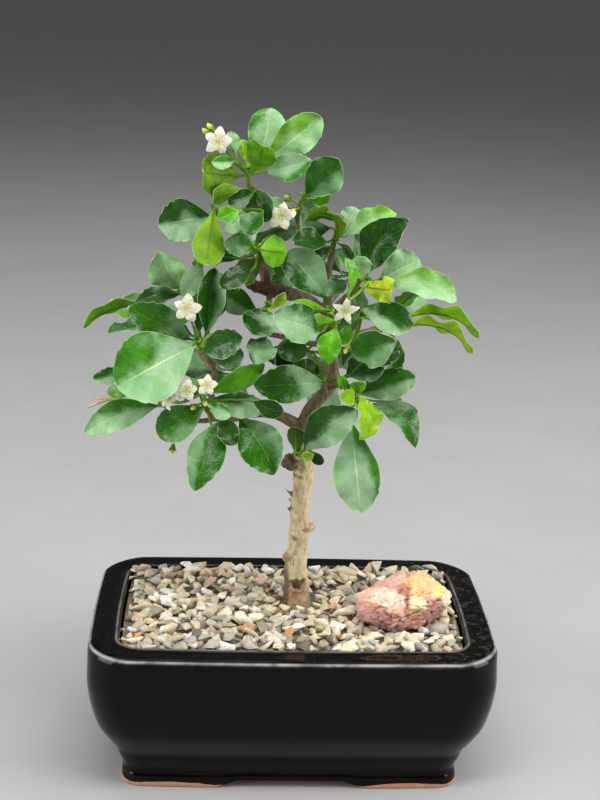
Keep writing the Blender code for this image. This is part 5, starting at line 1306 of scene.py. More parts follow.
@dataclass
class Foliage(Assembly):
    """The leafy sprays: twigs, stalks, leaves, buds and flower cups, a piece for each spray.

    The last three fields hold the spray in hand, its piece under work and its twig in metres.
    """

    stalk_colour: Colour = (0.13, 0.26, 0.03)
    twig_colour: Colour = (0.13, 0.12, 0.04)
    bud_colour: Colour = (0.38, 0.48, 0.09)
    bud_tip_colour: Colour = (0.7, 0.69, 0.3)
    dry_colour: Colour = (0.56, 0.46, 0.27)
    hidden_tones: tuple = (Tone.MATURE, Tone.DARK, Tone.SHEEN)
    tries: int = 60
    large: float = 150.0
    twig_gap: float = 0.3
    twig_radius: float = 1.05
    stalk_radius: float = 0.5
    stalk_kind: float = 0.2
    young: int = 4
    dead_spray: str = "spray_far_left"
    dead_forks: tuple = (
        ((-56, 138.5, -8, 0.7), (-64, 140.2, -7, 0.65), (-71, 140.9, -6, 0.62), (-75.6, 141.3, -5, 0.5)),
        ((-70, 140.8, -6, 0.55), (-74, 139.3, -6.5, 0.5), (-78, 137.4, -7, 0.34)),
    )
    spray: Spray | None = None
    piece: Piece | None = None
    path: tuple = ()

    def build(self) -> None:
        """Build every spray."""
        for spray in SPRAYS:
            self.spray, self.piece = spray, Piece(spray.name.replace("spray_", "foliage_"))
            wood = [seen(x, z, depth) for x, z, depth, _ in WOOD[spray.wood]]
            start = wood[-1] + (wood[-1] - wood[-2]).normalized() * self.twig_gap * MM
            self.path = (start, *(seen(*place) for place in spray.path))
            self.build_spray()

    def build_spray(self) -> None:
        """Build the spray in hand."""
        self.build_twig()
        for number, leaf in enumerate(self.spray.leaves):
            self.build_leaf(self.seen_form(leaf), leaf.tone.value, number)
        for number, form in enumerate(self.hidden_forms()):
            self.build_leaf(form, self.hidden_tones[number % 3].value, number)
        for number, flower in enumerate(self.spray.flowers):
            self.build_cup(flower, number)
        for number, bud in enumerate(self.spray.buds):
            self.build_bud(seen(*bud), number)
        self.build_young_leaves()
        if self.spray.name == self.dead_spray:
            self.build_dead_twigs()
        self.finish(self.piece, "leaf_green", self.spray.name)

    def root_on(self, point: Vector, number: int) -> Vector:
        """Return where a stalk leaves the twig: near what it carries, clear of the twig's ends.

        Args:
            point: What the stalk leads to.
            number: The stalk's number, which keeps it off its neighbours.

        Returns:
            The place on the twig in metres.
        """
        stretches = [(start, end - start) for start, end in zip(self.path, self.path[1:])]
        total = sum(run.length for _, run in stretches)
        best = None
        reached = 0.0
        for start, run in stretches:
            share = clamp((point - start).dot(run) / run.length_squared)
            away = (start + run * share - point).length
            if best is None or away < best[0]:
                best = (away, reached + run.length * share)
            reached += run.length
        margin = min(1.0 * MM, 0.45 * total)
        along = best[1] + (0.618 * number % 1.0 - 0.5) * 2.6 * MM
        along = max(margin, min(total - margin, along))
        for start, run in stretches:
            if along <= run.length:
                return start + run.normalized() * along
            along -= run.length
        return self.path[-1]

    def build_twig(self) -> None:
        """Build the green twig, rooted a little inside its woody tip."""
        first, second, *_ = self.path
        corners = [first - (second - first).normalized() * 0.8 * MM, *self.path]
        places, radii = flowing(corners, [self.twig_radius * 0.96] * len(self.path) + [0.75], 5)
        draw = random.Random(self.spray.name + "twig")
        rows = self.piece.sweep(places, [radius * draw.uniform(0.93, 1.07) for radius in radii], 10)
        for index, row in enumerate(rows):
            share = index / (len(rows) - 1)
            self.piece.paint([row], blend_colours(self.twig_colour, self.stalk_colour, share), 0.0, share)

    def seen_form(self, leaf: Leaf) -> BladeForm:
        """Return the form of a seen leaf, its roll measured from the line of sight.

        Args:
            leaf: The leaf.

        Returns:
            Its form.
        """
        base, tip = seen(*leaf.base), seen(*leaf.tip)
        along = (tip - base).normalized()
        towards = (EYE * MM - (base + tip) * 0.5).normalized()
        facing = (towards - along * towards.dot(along)).normalized()
        normal = Quaternion(along, math.radians(leaf.roll)) @ facing
        return BladeForm(base, tip, normal, leaf.width, leaf.arch, leaf.fold, bend=leaf.bend, keen=leaf.keen)

    def hidden_forms(self) -> list[BladeForm]:
        """Return the forms of the leaves grown at the back, each kept from many tries.

        Returns:
            The leaves' forms.
        """
        draw = random.Random(self.spray.name)
        tries = [self.hidden_form(draw) for _ in range(self.tries * len(self.spray.behind))]
        return [tries[self.tries * number + pick] for number, pick in enumerate(self.spray.behind)]

    def hidden_form(self, draw: random.Random) -> BladeForm:
        """Return one try at a leaf that grows out from the twig.

        Args:
            draw: Where its numbers are drawn from.

        Returns:
            The leaf's form.
        """
        turn = draw.uniform(0.0, FULL_TURN)
        way = Vector((math.cos(turn), math.sin(turn) * 0.7, draw.uniform(-0.9, 0.9))).normalized()
        root = self.path[0].lerp(self.path[-1], draw.uniform(0.2, 1.0))
        base = root + way * draw.uniform(2.5, 6.0) * MM
        length = draw.uniform(15.0, 26.0)
        tip = base + (way * length + Vector((0.0, 0.0, -0.12 * length))) * MM
        width = length * draw.uniform(0.45, 0.58)
        arch = draw.uniform(0.06, 0.12)
        normal = Vector((way.x * 0.3, draw.uniform(-1.1, 0.2), 1.0))
        return BladeForm(base, tip, normal, width, arch, 12.0)

    def build_leaf(self, form: BladeForm, look: LeafTint, number: int) -> None:
        """Build a leaf with its stalk and the rib under it.

        Args:
            form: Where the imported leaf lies.
            look: Its colours and waves.
            number: Its number on the twig.
        """
        draw = random.Random("%.5f %.5f" % (form.base.x, form.tip.z))
        form.number = draw.random()
        form.wave = draw.uniform(1.0, 1.8) * look.wave * min(1.3, form.width / 11.0)
        form.tooth = draw.uniform(0.05, 0.16)
        form.droop = draw.uniform(0.0, 0.25)
        form.twist = draw.uniform(-6.0, 6.0)
        form.lean = draw.uniform(-0.05, 0.05)
        form.thickness = 0.34
        fine = form.width * form.length / MM > self.large
        columns, rows = 14 if fine else 10, 24 if fine or look.wave > 1.0 else 16
        upper, under = self.piece.blade(form, columns, rows)
        lift = draw.uniform(0.86, 1.14)
        for group, tint, kind in ((upper, look.upper, 1.0), (under, look.under, 0.5)):
            for vertex in group:
                across, along = vertex[self.piece.form][0], vertex[self.piece.form][1]
                from_heart = smooth_step(4.4 * abs(across - 0.5) + 0.5 * along)
                colour = blend_colours(look.heart or tint, tint, from_heart)
                vertex[self.piece.tint] = (*lifted(colour, lift), look.bloom)
                vertex[self.piece.form] = (across, along, form.number, kind)
        self.build_stalk(form, look, self.root_on(form.base, number))

    def build_stalk(self, form: BladeForm, look: LeafTint, root: Vector) -> None:
        """Build a leaf's stalk, which runs on under the blade as its rib.

        Args:
            form: The leaf's form.
            look: The leaf's colours.
            root: Where the stalk leaves the twig, in metres.
        """
        knee = form.base - form.along * min(0.5 * (form.base - root).length, 3.0 * MM)
        places = []
        radii = []
        for step in range(6):
            share = step / 5.0
            places.append(root.lerp(knee, share).lerp(knee.lerp(form.base, share), share))
            radii.append(self.stalk_radius * (1.15 - 0.2 * share))
        for share in (0.08, 0.2, 0.36, 0.54, 0.72, 0.88):
            radius = self.stalk_radius * 0.85 * (1.0 - 0.85 * share)
            places.append(form.spine(share) - form.up * (form.thickness * 0.5 + radius * 0.35) * MM)
            radii.append(radius)
        tint = blend_colours(self.stalk_colour, look.under, 0.5)
        self.piece.paint(self.piece.sweep(places, radii, 6), tint, self.stalk_kind)

    def flower_way(self, flower: Flower) -> Vector:
        """Return where a flower looks: towards the viewer unless it says otherwise."""
        way = Vector(flower.facing)
        return (way if way.length else EYE * MM - seen(*flower.centre)).normalized()

    def build_points(self, rosette: Rosette, ends: tuple, width: float, arch: float, tint: Colour) -> None:
        """Build the five green points that stand round a flower or a bud.

        Args:
            rosette: The frame of the flower or bud.
            ends: Turn of the first, then reach and lift of the foot and of the tip in millimetres.
            width: Width of each in millimetres.
            arch: How far each one bows outwards, as a share of its length.
            tint: Their colour.
        """
        first, foot, tip = ends
        for step in range(5):
            turn = FULL_TURN * (step + first) / 5.0
            base, end = rosette.spot(turn, *foot), rosette.spot(turn, *tip)
            form = BladeForm(base, end, -rosette.out(turn), width, arch, 8.0, 0.2, outline=Outline.POINTED)
            self.piece.paint(self.piece.blade(form, 4, 6), tint, self.stalk_kind, 0.5)

    def build_cup(self, flower: Flower, number: int) -> None:
        """Build the stalk, cup and five green points that hold a flower.

        Args:
            flower: The flower.
            number: Its number on the twig.
        """
        way = self.flower_way(flower)
        end = seen(*flower.centre) - way * 2.9 * MM
        neck = end - way * 2.0 * MM
        root = self.root_on(neck, number)
        bend = root.lerp(neck, 0.6) - way * 0.8 * MM
        corners = [root, bend, neck, end, end + way * 0.9 * MM]
        places, radii = flowing(corners, [0.5, 0.42, 0.5, 1.05, 1.2], 4)
        self.piece.paint(self.piece.sweep(places, radii, 9), self.stalk_colour, self.stalk_kind)
        ends = (0.5, (1.0, 0.0), (2.0, 2.7))
        self.build_points(Rosette(end, way), ends, 1.2, 0.1, self.bud_colour)

    def build_bud(self, centre: Vector, number: int) -> None:
        """Build a closed bud with the stalk that holds it.

        Args:
            centre: The bud's middle in metres.
            number: Its number on the twig.
        """
        root = self.root_on(centre, number)
        way = (centre - root).normalized()
        half = way * 2.1 * MM
        sag = Vector((0.0, 0.0, -0.05)) * (centre - root).length
        corners = [root, root.lerp(centre - half, 0.5) + sag]
        corners += [centre + half * share for share in (-1.0, -0.5, 0.0, 0.5, 1.0)]
        places, radii = flowing(corners, [0.5, 0.4, 0.45, 0.95, 1.1, 0.85, 0.22], 4)
        rows = self.piece.sweep(places, radii, 8)
        for index, row in enumerate(rows):
            share = index / len(rows)
            tint = blend_colours(self.stalk_colour, self.bud_colour, smooth_step(share * 2.0 - 0.8))
            tint = blend_colours(tint, self.bud_tip_colour, smooth_step(share * 4.0 - 2.8))
            self.piece.paint([row], tint, self.stalk_kind)
        ends = (0.0, (0.45, -0.85 * 2.1), (1.75, 0.35 * 2.1))
        self.build_points(Rosette(centre, way), ends, 1.0, 0.05, self.stalk_colour)

    def build_young_leaves(self) -> None:
        """Build the small new leaves at the twig's end."""
        draw = random.Random(self.spray.name + "young")
        end = self.path[-1]
        way = (end - self.path[-2]).normalized()
        for number in range(self.young):
            out = Rosette(end, way).out(2.4 * number + draw.uniform(-0.3, 0.3))
            lean = (way * draw.uniform(0.7, 1.2) + out * 0.8 + Vector((0.0, 0.0, 0.3))).normalized()
            base = end + out * 0.35 * MM
            tip = base + lean * draw.uniform(2.0, 3.8) * MM
            width = draw.uniform(1.1, 1.8)
            form = BladeForm(base, tip, way - out, width, 0.1, 30.0, 0.22, number=draw.random())
            self.piece.blade(form, 6, 8, (Tone.LIME if number % 2 else Tone.BRIGHT).value.upper, 0.1)

    def build_dead_twigs(self) -> None:
        """Build the dead forked twig ends at the crown's left."""
        for fork in self.dead_forks:
            corners = [seen(x, z, depth) for x, z, depth, _ in fork]
            places, radii = flowing(corners, [radius for *_, radius in fork], 4)
            self.piece.paint(self.piece.sweep(places, radii, 7), self.dry_colour, 0.0)


@dataclass
class Blooms(Assembly):
    """The open flowers, a piece for each."""

    petals: int = 5
    narrow: int = 3
    cream: Colour = (0.8, 0.8, 0.66)
    throat: Colour = (0.6, 0.64, 0.22)
    anther: Colour = (0.6, 0.52, 0.16)
    style: Colour = (0.52, 0.62, 0.24)
    throat_section: tuple = (
        (1.0, -0.5), (0.92, -1.4), (0.86, -2.6), (0.5, -2.6), (0.55, -1.6), (0.7, -0.8), (0.85, -0.35),
    )

    def build(self, foliage: Foliage) -> None:
        """Build every flower that the sprays carry.

        Args:
            foliage: The sprays, which know where each flower looks.
        """
        flowers = [flower for spray in SPRAYS for flower in spray.flowers]
        for number, flower in enumerate(flowers, 1):
            rosette = Rosette(seen(*flower.centre), foliage.flower_way(flower))
            self.build_flower(number, flower.radius, rosette)

    def build_flower(self, number: int, size: float, rosette: Rosette) -> None:
        """Build one flower.

        Args:
            number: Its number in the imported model.
            size: Its radius in millimetres.
            rosette: Its middle and the way that it faces.
        """
        piece = Piece("bloom_%d" % number)
        draw = random.Random(number)
        narrow = number == self.narrow
        turns = [FULL_TURN * step / 14 for step in range(14)]
        rings = [[rosette.spot(turn, reach, lift) for turn in turns] for reach, lift in self.throat_section]
        piece.paint(piece.loft(rings, closed=False), self.throat, 0.0)
        rims = [edge for edge in piece.work.edges if edge.is_boundary]
        bmesh.ops.holes_fill(piece.work, edges=rims, sides=0)
        for petal in range(self.petals):
            middle = FULL_TURN * (petal + draw.uniform(-0.07, 0.07)) / self.petals
            radius = size * draw.uniform(0.88, 1.0)
            form = BladeForm(
                rosette.spot(middle, 0.62, -0.45), rosette.spot(middle, radius, draw.uniform(-0.8, 0.5)),
                rosette.way, radius * (0.52 if narrow else draw.uniform(0.72, 0.80)), arch=0.12, fold=-6.0,
                thickness=0.24, wave=0.34, tooth=0.05, droop=0.8,
                keen=0.9 if narrow else draw.uniform(0.1, 0.6), lean=draw.uniform(-0.08, 0.08),
                number=draw.random(), outline=Outline.PETAL,
            )
            piece.blade(form, 10, 12, self.cream)
        self.build_stamens(piece, rosette, size)
        self.finish(piece, "petal_white", "flower_%d" % number)

    def build_stamens(self, piece: Piece, rosette: Rosette, size: float) -> None:
        """Build the stamens between the petals, and the forked style.

        Args:
            piece: The flower's piece.
            rosette: Its middle and the way that it faces.
            size: Its radius in millimetres.
        """
        for step in range(self.petals):
            turn = FULL_TURN * (step + 0.5) / self.petals
            bend, head = rosette.spot(turn, 0.95, 0.9), rosette.spot(turn, 0.34 * size, 2.0)
            end = head + (head - bend).normalized() * 0.8 * MM
            thread = [rosette.spot(turn, 0.55, -0.6), bend, head]
            piece.paint(piece.sweep(thread, [0.14, 0.12, 0.1], 5), self.cream, 0.0)
            sac = [head, head.lerp(end, 0.3), head.lerp(end, 0.7), end]
            piece.paint(piece.sweep(sac, [0.12, 0.34, 0.34, 0.1], 6), self.anther, 0.0)
        for turn in (0.4, 0.4 + math.pi):
            fork = [rosette.spot(turn, *place) for place in ((0.05, -0.8), (0.1, 0.9), (0.8, 2.2))]
            piece.paint(piece.sweep(fork, [0.16, 0.13, 0.16], 5), self.style, 0.0)


@dataclass
class Trunk(Assembly):
    """The woody plant: branches grown together under flaky bark."""

    voxel: float = 0.42
    root: Place = (2.5, 3.4, 38.2)
    root_radii: tuple = (5.4, 5.5)
    tan: Colour = (0.66, 0.5, 0.26)
    pale: Colour = (0.9, 0.78, 0.5)
    brown: Colour = (0.1, 0.055, 0.028)
    twig: Colour = (0.15, 0.115, 0.055)
    marks: tuple = (
        Patch(-12, 184.5, 8, 6, (0.1, 0.05, 0.022), 0.9),
        Patch(2.5, 72.3, 9, 3.2, (0.58, 0.56, 0.28), 0.75),
        Patch(2.5, 61.6, 9, 4.2, (0.33, 0.185, 0.095), 0.6),
        Patch(4.4, 64, 2.2, 4.5, (0.62, 0.42, 0.29), 0.65),
        # Painted shade: a tall dark strip down the left edge of the stem's foot
        Patch(-2.4, 66.5, 1.5, 8.5, (0.08, 0.042, 0.02), 0.9),
        Patch(2.2, 67.8, 2.9, 2.5, (0.15, 0.05, 0.026), 0.85),
        Patch(1.6, 67.2, 1.7, 1.5, (0.05, 0.014, 0.009), 0.9),
        Patch(0.6, 62.2, 1.3, 2.6, (0.42, 0.21, 0.09), 0.6),
        Patch(-2.4, 78.4, 1.9, 2, (0.23, 0.17, 0.07), 0.75),
        Patch(0.4, 86.6, 1.3, 1.1, (0.2, 0.12, 0.05), 0.85),
        Patch(7.6, 91.2, 1.6, 1.9, (0.7, 0.54, 0.42), 0.9),
        Patch(4.6, 90.6, 0.8, 2.2, (0.22, 0.14, 0.06), 0.65),
        Patch(-1.5, 98.4, 1, 1.6, (0.12, 0.07, 0.035), 0.85),
        Patch(-1.6, 104, 1.1, 1.9, (0.1, 0.062, 0.03), 0.85),
        Patch(0.6, 111.6, 3.2, 0.8, (0.12, 0.07, 0.03), 0.8, -12),
        Patch(-3.2, 117.4, 4, 4.4, (0.06, 0.026, 0.014), 0.95),
        Patch(2.6, 116.4, 1, 3.4, (0.15, 0.095, 0.045), 0.7),
    )
    flakes: tuple = ((-1, 98, 1.5, 1.2), (-1.2, 101.4, 1.3, 1.6), (-1.3, 104.2, 2.2, 2.6), (-3, 64, 1.2, 3))
    scar: Place = (2.0, 67.6, 2.2)
    burl: Place = (-3.4, 117.4, 3.6)

    def build(self) -> None:
        """Build the branches as one grown piece."""
        piece = Piece("branches")
        for name, corners in WOOD.items():
            self.build_branch(piece, name, corners)
        self.build_flakes(piece)
        bmesh.ops.recalc_face_normals(piece.work, faces=piece.work.faces)
        grown = self.grow_together(mesh_of(piece.work, piece.name))
        self.show(self.carve(grown), "bark", "trunk", 60.0)

    def build_branch(self, piece: Piece, name: str, corners: tuple) -> None:
        """Build one branch with uneven girth.

        Args:
            piece: The piece it joins.
            name: The branch's name in the table.
            corners: x, z, depth and radius along it.
        """
        points = [seen(x, z, depth) for x, z, depth, _ in corners]
        radii = [radius for *_, radius in corners]
        if name == "stem":
            x, y, foot = self.root
            points = [Vector((x, y, height)) * MM for height in (foot, 45.0)] + points
            radii = list(self.root_radii) + radii
        places, girths = flowing(points, radii, 5)
        way = (places[-1] - places[-2]).normalized()
        places.append(places[-1] + way * 0.15 * MM)
        girths.append(girths[-1] * 0.7)
        swell = [1.0 + 0.10 * noise.noise(place / MM * 0.35) for place in places]
        uneven = [girth * more for girth, more in zip(girths, swell)]
        piece.sweep(places, uneven, 28 if name == "stem" else 14)

    def build_flakes(self, piece: Piece) -> None:
        """Build the short dead twig ends and flakes that stand off the stem's left side.

        Args:
            piece: The piece they join.
        """
        for x, z, reach, rise in self.flakes:
            foot = seen(x + 1.2, z - 0.6, 2.2)
            tip = seen(x - reach, z + rise, 1.0)
            middle = foot.lerp(tip, 0.55) + Vector((-0.3, 0.0, -0.2)) * MM
            piece.sweep([foot, middle, tip], [0.85, 0.6, 0.32], 8)

    def grow_together(self, mesh: bpy.types.Mesh) -> bpy.types.Mesh:
        """Return the branches as one even skin.

        Args:
            mesh: The branches as they cross each other.

        Returns:
            The skin.
        """
        made = new_object("branches", mesh)
        skin = made.modifiers.new("skin", "REMESH")
        skin.mode = "VOXEL"
        skin.voxel_size = self.voxel * MM
        ease = made.modifiers.new("ease", "SMOOTH")
        ease.factor = 0.5
        ease.iterations = 2
        return applied_mesh(made)

    def carve(self, skin: bpy.types.Mesh) -> bpy.types.Mesh:
        """Raise the bark's relief, cut the scar and paint the zones.

        Args:
            skin: The branches' even skin.

        Returns:
            The woody plant, in place.
        """
        work = bmesh.new()
        work.from_mesh(skin)
        tint = work.verts.layers.float_color.new("tint")
        for vertex in work.verts:
            relief, colour, dust = self.bark_at(vertex.co / MM, vertex.normal)
            vertex[tint] = (*colour, dust)
            vertex.co += vertex.normal * relief * MM
        bmesh.ops.translate(work, verts=work.verts, vec=self.shift)
        return mesh_of(work, "woody_plant")

    def bark_at(self, place: Vector, normal: Vector) -> tuple[float, Colour, float]:
        """Return how the bark is at a point.

        Args:
            place: A point of the skin in millimetres.
            normal: The skin's direction there.

        Returns:
            Its rise in millimetres, its colour, with painted shade on its left-facing side, and its
            flakiness.
        """
        stem = smooth_step((131.0 - place.z) / 14.0)
        rough = noise.fractal(squeezed(place, 0.45, 0.20), 0.9, 2.1, 4)
        ridges = abs(noise.noise(squeezed(place, 1.1, 0.28)))
        relief = 0.22 * rough * (0.4 + 0.6 * stem) - 0.20 * (0.3 - min(0.3, ridges)) * (0.3 + stem)
        relief += 0.16 * noise.noise(squeezed(place, 0.12, 0.9)) * stem
        colour = blend_colours(self.twig, self.tan, stem)
        colour = blend_colours(colour, self.pale, smooth_step(rough * 1.2 + 0.35) * 0.75 * stem)
        dark = noise.noise(squeezed(place, 0.30, 0.11) + Vector((7.0, 0.0, 0.0)))
        colour = blend_colours(colour, self.brown, 0.45 * smooth_step((dark - 0.12) / 0.3) * stem)
        # Painted shade: the bark is darkened where it faces left, away from the light
        colour = blend_colours(colour, self.brown, 0.25 * smooth_step(-normal.x * 1.5) * stem)
        x = place.x + 0.9 * noise.noise(place * 0.8)
        z = place.z + 0.9 * noise.noise(place * 0.8 + Vector((5.0, 0.0, 0.0)))
        flaky = 0.25 + 0.75 * stem
        for mark in self.marks:
            cover = mark.cover(x, z)
            if cover > 0.0 and (place.y < 3.6 or mark.half_across > 3.5):
                colour = blend_colours(colour, mark.colour, cover)
                relief += 0.35 * cover * rough
                flaky *= 1.0 - 0.85 * cover * (max(mark.colour) < 0.35)
        scar_x, scar_z, depth = self.scar
        away = math.hypot((x - scar_x) / 3.0, (z - scar_z) / 2.3)
        if place.y < depth and away < 1.6:
            relief += 0.35 * peak(away, 1.15, 0.22) - 0.7 * smooth_step((1.05 - away) / 0.35)
        burl_x, burl_z, size = self.burl
        ball = peak(place.x, burl_x, size) * peak(place.z, burl_z, size + 0.2)
        relief += ball * (0.5 * noise.noise(place * 0.9) + 0.3 * abs(noise.noise(place * 2.0)))
        return relief, colour, flaky


@dataclass
class Pot(Assembly):
    """The glazed pot, and the outline that everything in it follows."""

    length: float = 153.0
    depth: float = 99.0
    corner: float = 14.6
    bow: float = 1.3
    corner_lean: float = 1.2
    foot_rise: float = 3.2
    foot_top: float = 6.5
    arch_long: float = 28.0
    arch_short: float = 15.0
    drain_x: float = 36.0
    drain_radius: float = 5.5
    underside: tuple = ((5.5, 21.2), (3, 20.9), (0.7, 20.7), (0.15, 20.3), (0, 19.6), (0, 13.5), (0.12, 12.4))
    foot: tuple = ((0.5, 12.05), (1.1, 12), (1.7, 12), (2.3, 12.05), (2.9, 12.1))
    outside: tuple = (
        (4, 12.2), (6.5, 12.7), (11.5, 10.8), (15, 9.6), (20, 6.4), (26, 3.2), (34, 1), (40, 0.1),
        (44, -0.22), (48, -0.12), (51, 0), (54, 0.1),
    )
    lip: tuple = (
        (55.5, 0.15), (56.6, 0.4), (57.3, 0.85), (57.75, 1.5), (57.95, 2.4), (57.95, 4), (57.8, 6),
        (57.72, 8.2), (57.85, 9.6), (58, 10.3), (57.95, 10.8), (57.6, 11.2), (56.8, 11.45), (55.6, 11.6),
    )
    inside: tuple = ((54, 11.6), (48, 10.9), (42, 10.2), (33, 11.2), (25, 12.4), (12, 18.5), (9.6, 20))

    def ring(self, inset: float, z: float, clearance: float = 0.0) -> list[Vector]:
        """Return one level outline: a rectangle with round corners and bowed sides.

        Args:
            inset: Millimetres inside the rim's outer edge.
            z: Height in millimetres.
            clearance: Extra inset in millimetres.

        Returns:
            Points in metres, counter-clockwise from above.
        """
        half_x = self.length / 2 - inset - clearance - self.bow
        half_y = self.depth / 2 - inset - clearance - self.bow
        corner = max(4.0, self.corner - 0.6 * inset)
        flat_x, flat_y = half_x - corner, half_y - corner
        lean = self.corner_lean * max(0.0, (z - 44.0) / 14.0) ** 2 if inset < 7.0 else 0.0
        outline = []
        for quarter, (sign_x, sign_y) in enumerate(((1, 1), (-1, 1), (-1, -1), (1, -1))):
            for step in range(9):
                angle = math.radians(90.0 * quarter + 90.0 * step / 8)
                reach = corner - lean * math.sin(math.pi * step / 8)
                x, y = reach * math.cos(angle), reach * math.sin(angle)
                outline.append((sign_x * flat_x + x, sign_y * flat_y + y))
            if quarter % 2 == 0:
                outline += [(sign_x * flat_x * (1.0 - step / 14.0), sign_y * half_y) for step in range(1, 28)]
            else:
                outline += [(sign_x * half_x, sign_y * flat_y * (1.0 - step / 8.0)) for step in range(1, 16)]
        points = []
        for x, y in outline:
            bow_x = self.bow * (1.0 - (y / half_y) ** 2) * x / half_x
            bow_y = self.bow * (1.0 - (x / half_x) ** 2) * y / half_y
            points.append(Vector((x + bow_x, y + bow_y, z + self.arch(x, y, z))) * MM)
        return points

    def arch(self, x: float, y: float, z: float) -> float:
        """Return how far the gaps between the feet lift a point of the foot.

        Args:
            x: The point, across in millimetres.
            y: The point, backwards.
            z: The point, upwards.

        Returns:
            The lift in millimetres.
        """
        if z >= self.foot_top:
            return 0.0
        gap = max(smooth_step((self.arch_long - abs(x)) / 9.0), smooth_step((self.arch_short - abs(y)) / 7.0))
        return self.foot_rise * gap * (1.0 - z / self.foot_top)

    def profile(self) -> list[tuple[float, float]]:
        """Return the section as heights and insets, from under the floor over the rim to the floor.

        Returns:
            The height and inset of each row in millimetres.
        """
        outside = [Vector((z, inset, 0.0)) for z, inset in self.foot[-1:] + self.outside]
        wall = [(place.x, place.y) for place in flowing(outside, [0.0] * len(outside), 4)[0]]
        return [*self.underside, *self.foot, *wall[1:], *self.lip, *self.inside]

    def build(self) -> None:
        """Build the pot and cut its drain holes."""
        piece = Piece("glazed_pot")
        rows = self.profile()
        made = piece.loft([self.ring(inset, z) for z, inset in rows])
        for index, ((z, inset), ring) in enumerate(zip(rows, made)):
            # The form's last value is the painted highlight along the rim's edges
            under, edge = index < len(self.underside), self.rim_highlight_at(z, inset)
            for vertex in ring:
                vertex[piece.form] = (*self.surface_at(vertex.co / MM, z, under), edge)
                vertex[piece.tint] = (0.01, 0.01, 0.01, 0.0)
        self.cut_drains(piece)
        self.finish(piece, "black_glaze", "pot", 38.0)

    def rim_highlight_at(self, z: float, inset: float) -> float:
        """Return how strongly a painted highlight lies at a place of the section: along the rim's two edges.
        """
        outer = peak(inset, 0.85, 0.26) if z > 56.0 else 0.0
        return outer + (0.5 * peak(inset, 10.3, 0.35) if z > 57.0 else 0.0)

    def surface_at(self, place: Vector, z: float, under: bool) -> tuple[float, float, float]:
        """Return how the pot's surface is at a point.

        Args:
            place: The point in millimetres.
            z: Its row's height before the feet are shaped.
            under: Whether it lies on the underside.

        Returns:
            How bare, how thinly glazed and how dusty it is there, each from 0 to 1.
        """
        reach_x = clamp((abs(place.x) - 24.0) / 42.0)
        reach_y = clamp((abs(place.y) - 12.0) / 26.0)
        line = 0.25 + 2.1 * math.sin(math.pi * reach_x) ** 0.7 * math.sin(math.pi * reach_y * 0.5) ** 2.0
        line += 1.2 * math.sin(math.pi * reach_y) * smooth_step((abs(place.x) - 60.0) / 3.0)
        clay = 1.0 if under else smooth_step((line - z) / 0.9 + 0.5)
        thin = 0.35 * peak(z, 57.0, 0.7) + 0.3 * smooth_step((9.0 - z) / 6.0)
        left = smooth_step((-place.x - 40.0) / 40.0) * smooth_step((40.0 - z) / 20.0)
        dusty = smooth_step((z - 55.8) / 1.2) * (0.15 + 0.85 * smooth_step((place.x - 20.0) / 45.0))
        return clay, min(1.0, thin + 0.6 * left), dusty

    def cut_drains(self, piece: Piece) -> None:
        """Cut the two round holes in the floor.

        Args:
            piece: The pot's piece, changed in place.
        """
        bmesh.ops.recalc_face_normals(piece.work, faces=piece.work.faces)
        body = new_object("pot_body", mesh_of(piece.work, "pot_body"))
        drills = []
        for side in (-1, 1):
            drill = bmesh.new()
            radius = self.drain_radius * MM
            bmesh.ops.create_cone(
                drill, cap_ends=True, segments=40, radius1=radius, radius2=radius, depth=12.0 * MM,
                matrix=Matrix.Translation(Vector((side * self.drain_x, 0.0, 8.0)) * MM),
            )
            drills.append(new_object("drill", mesh_of(drill, "drill")))
            cut = body.modifiers.new("drain", "BOOLEAN")
            cut.object = drills[-1]
            cut.operation = "DIFFERENCE"
            cut.solver = "EXACT"
        piece.work = bmesh.new()
        piece.work.from_mesh(applied_mesh(body))
        for drill in drills:
            bpy.data.objects.remove(drill)


class Grit(Enum):
    """Kinds of pebble in the gravel: colour, and how common each one is."""

    CREAM = ((0.88, 0.79, 0.6), 25)
    BEIGE = ((0.72, 0.62, 0.44), 24)
    WARM_GREY = ((0.6, 0.55, 0.45), 18)
    GREY = ((0.48, 0.47, 0.42), 9)
    OLIVE = ((0.36, 0.33, 0.22), 7)
    DARK = ((0.17, 0.16, 0.13), 3)
    WHITE = ((0.95, 0.93, 0.87), 13)
    ORANGE = ((0.7, 0.36, 0.14), 1)
    PINK = ((0.76, 0.52, 0.4), 3)


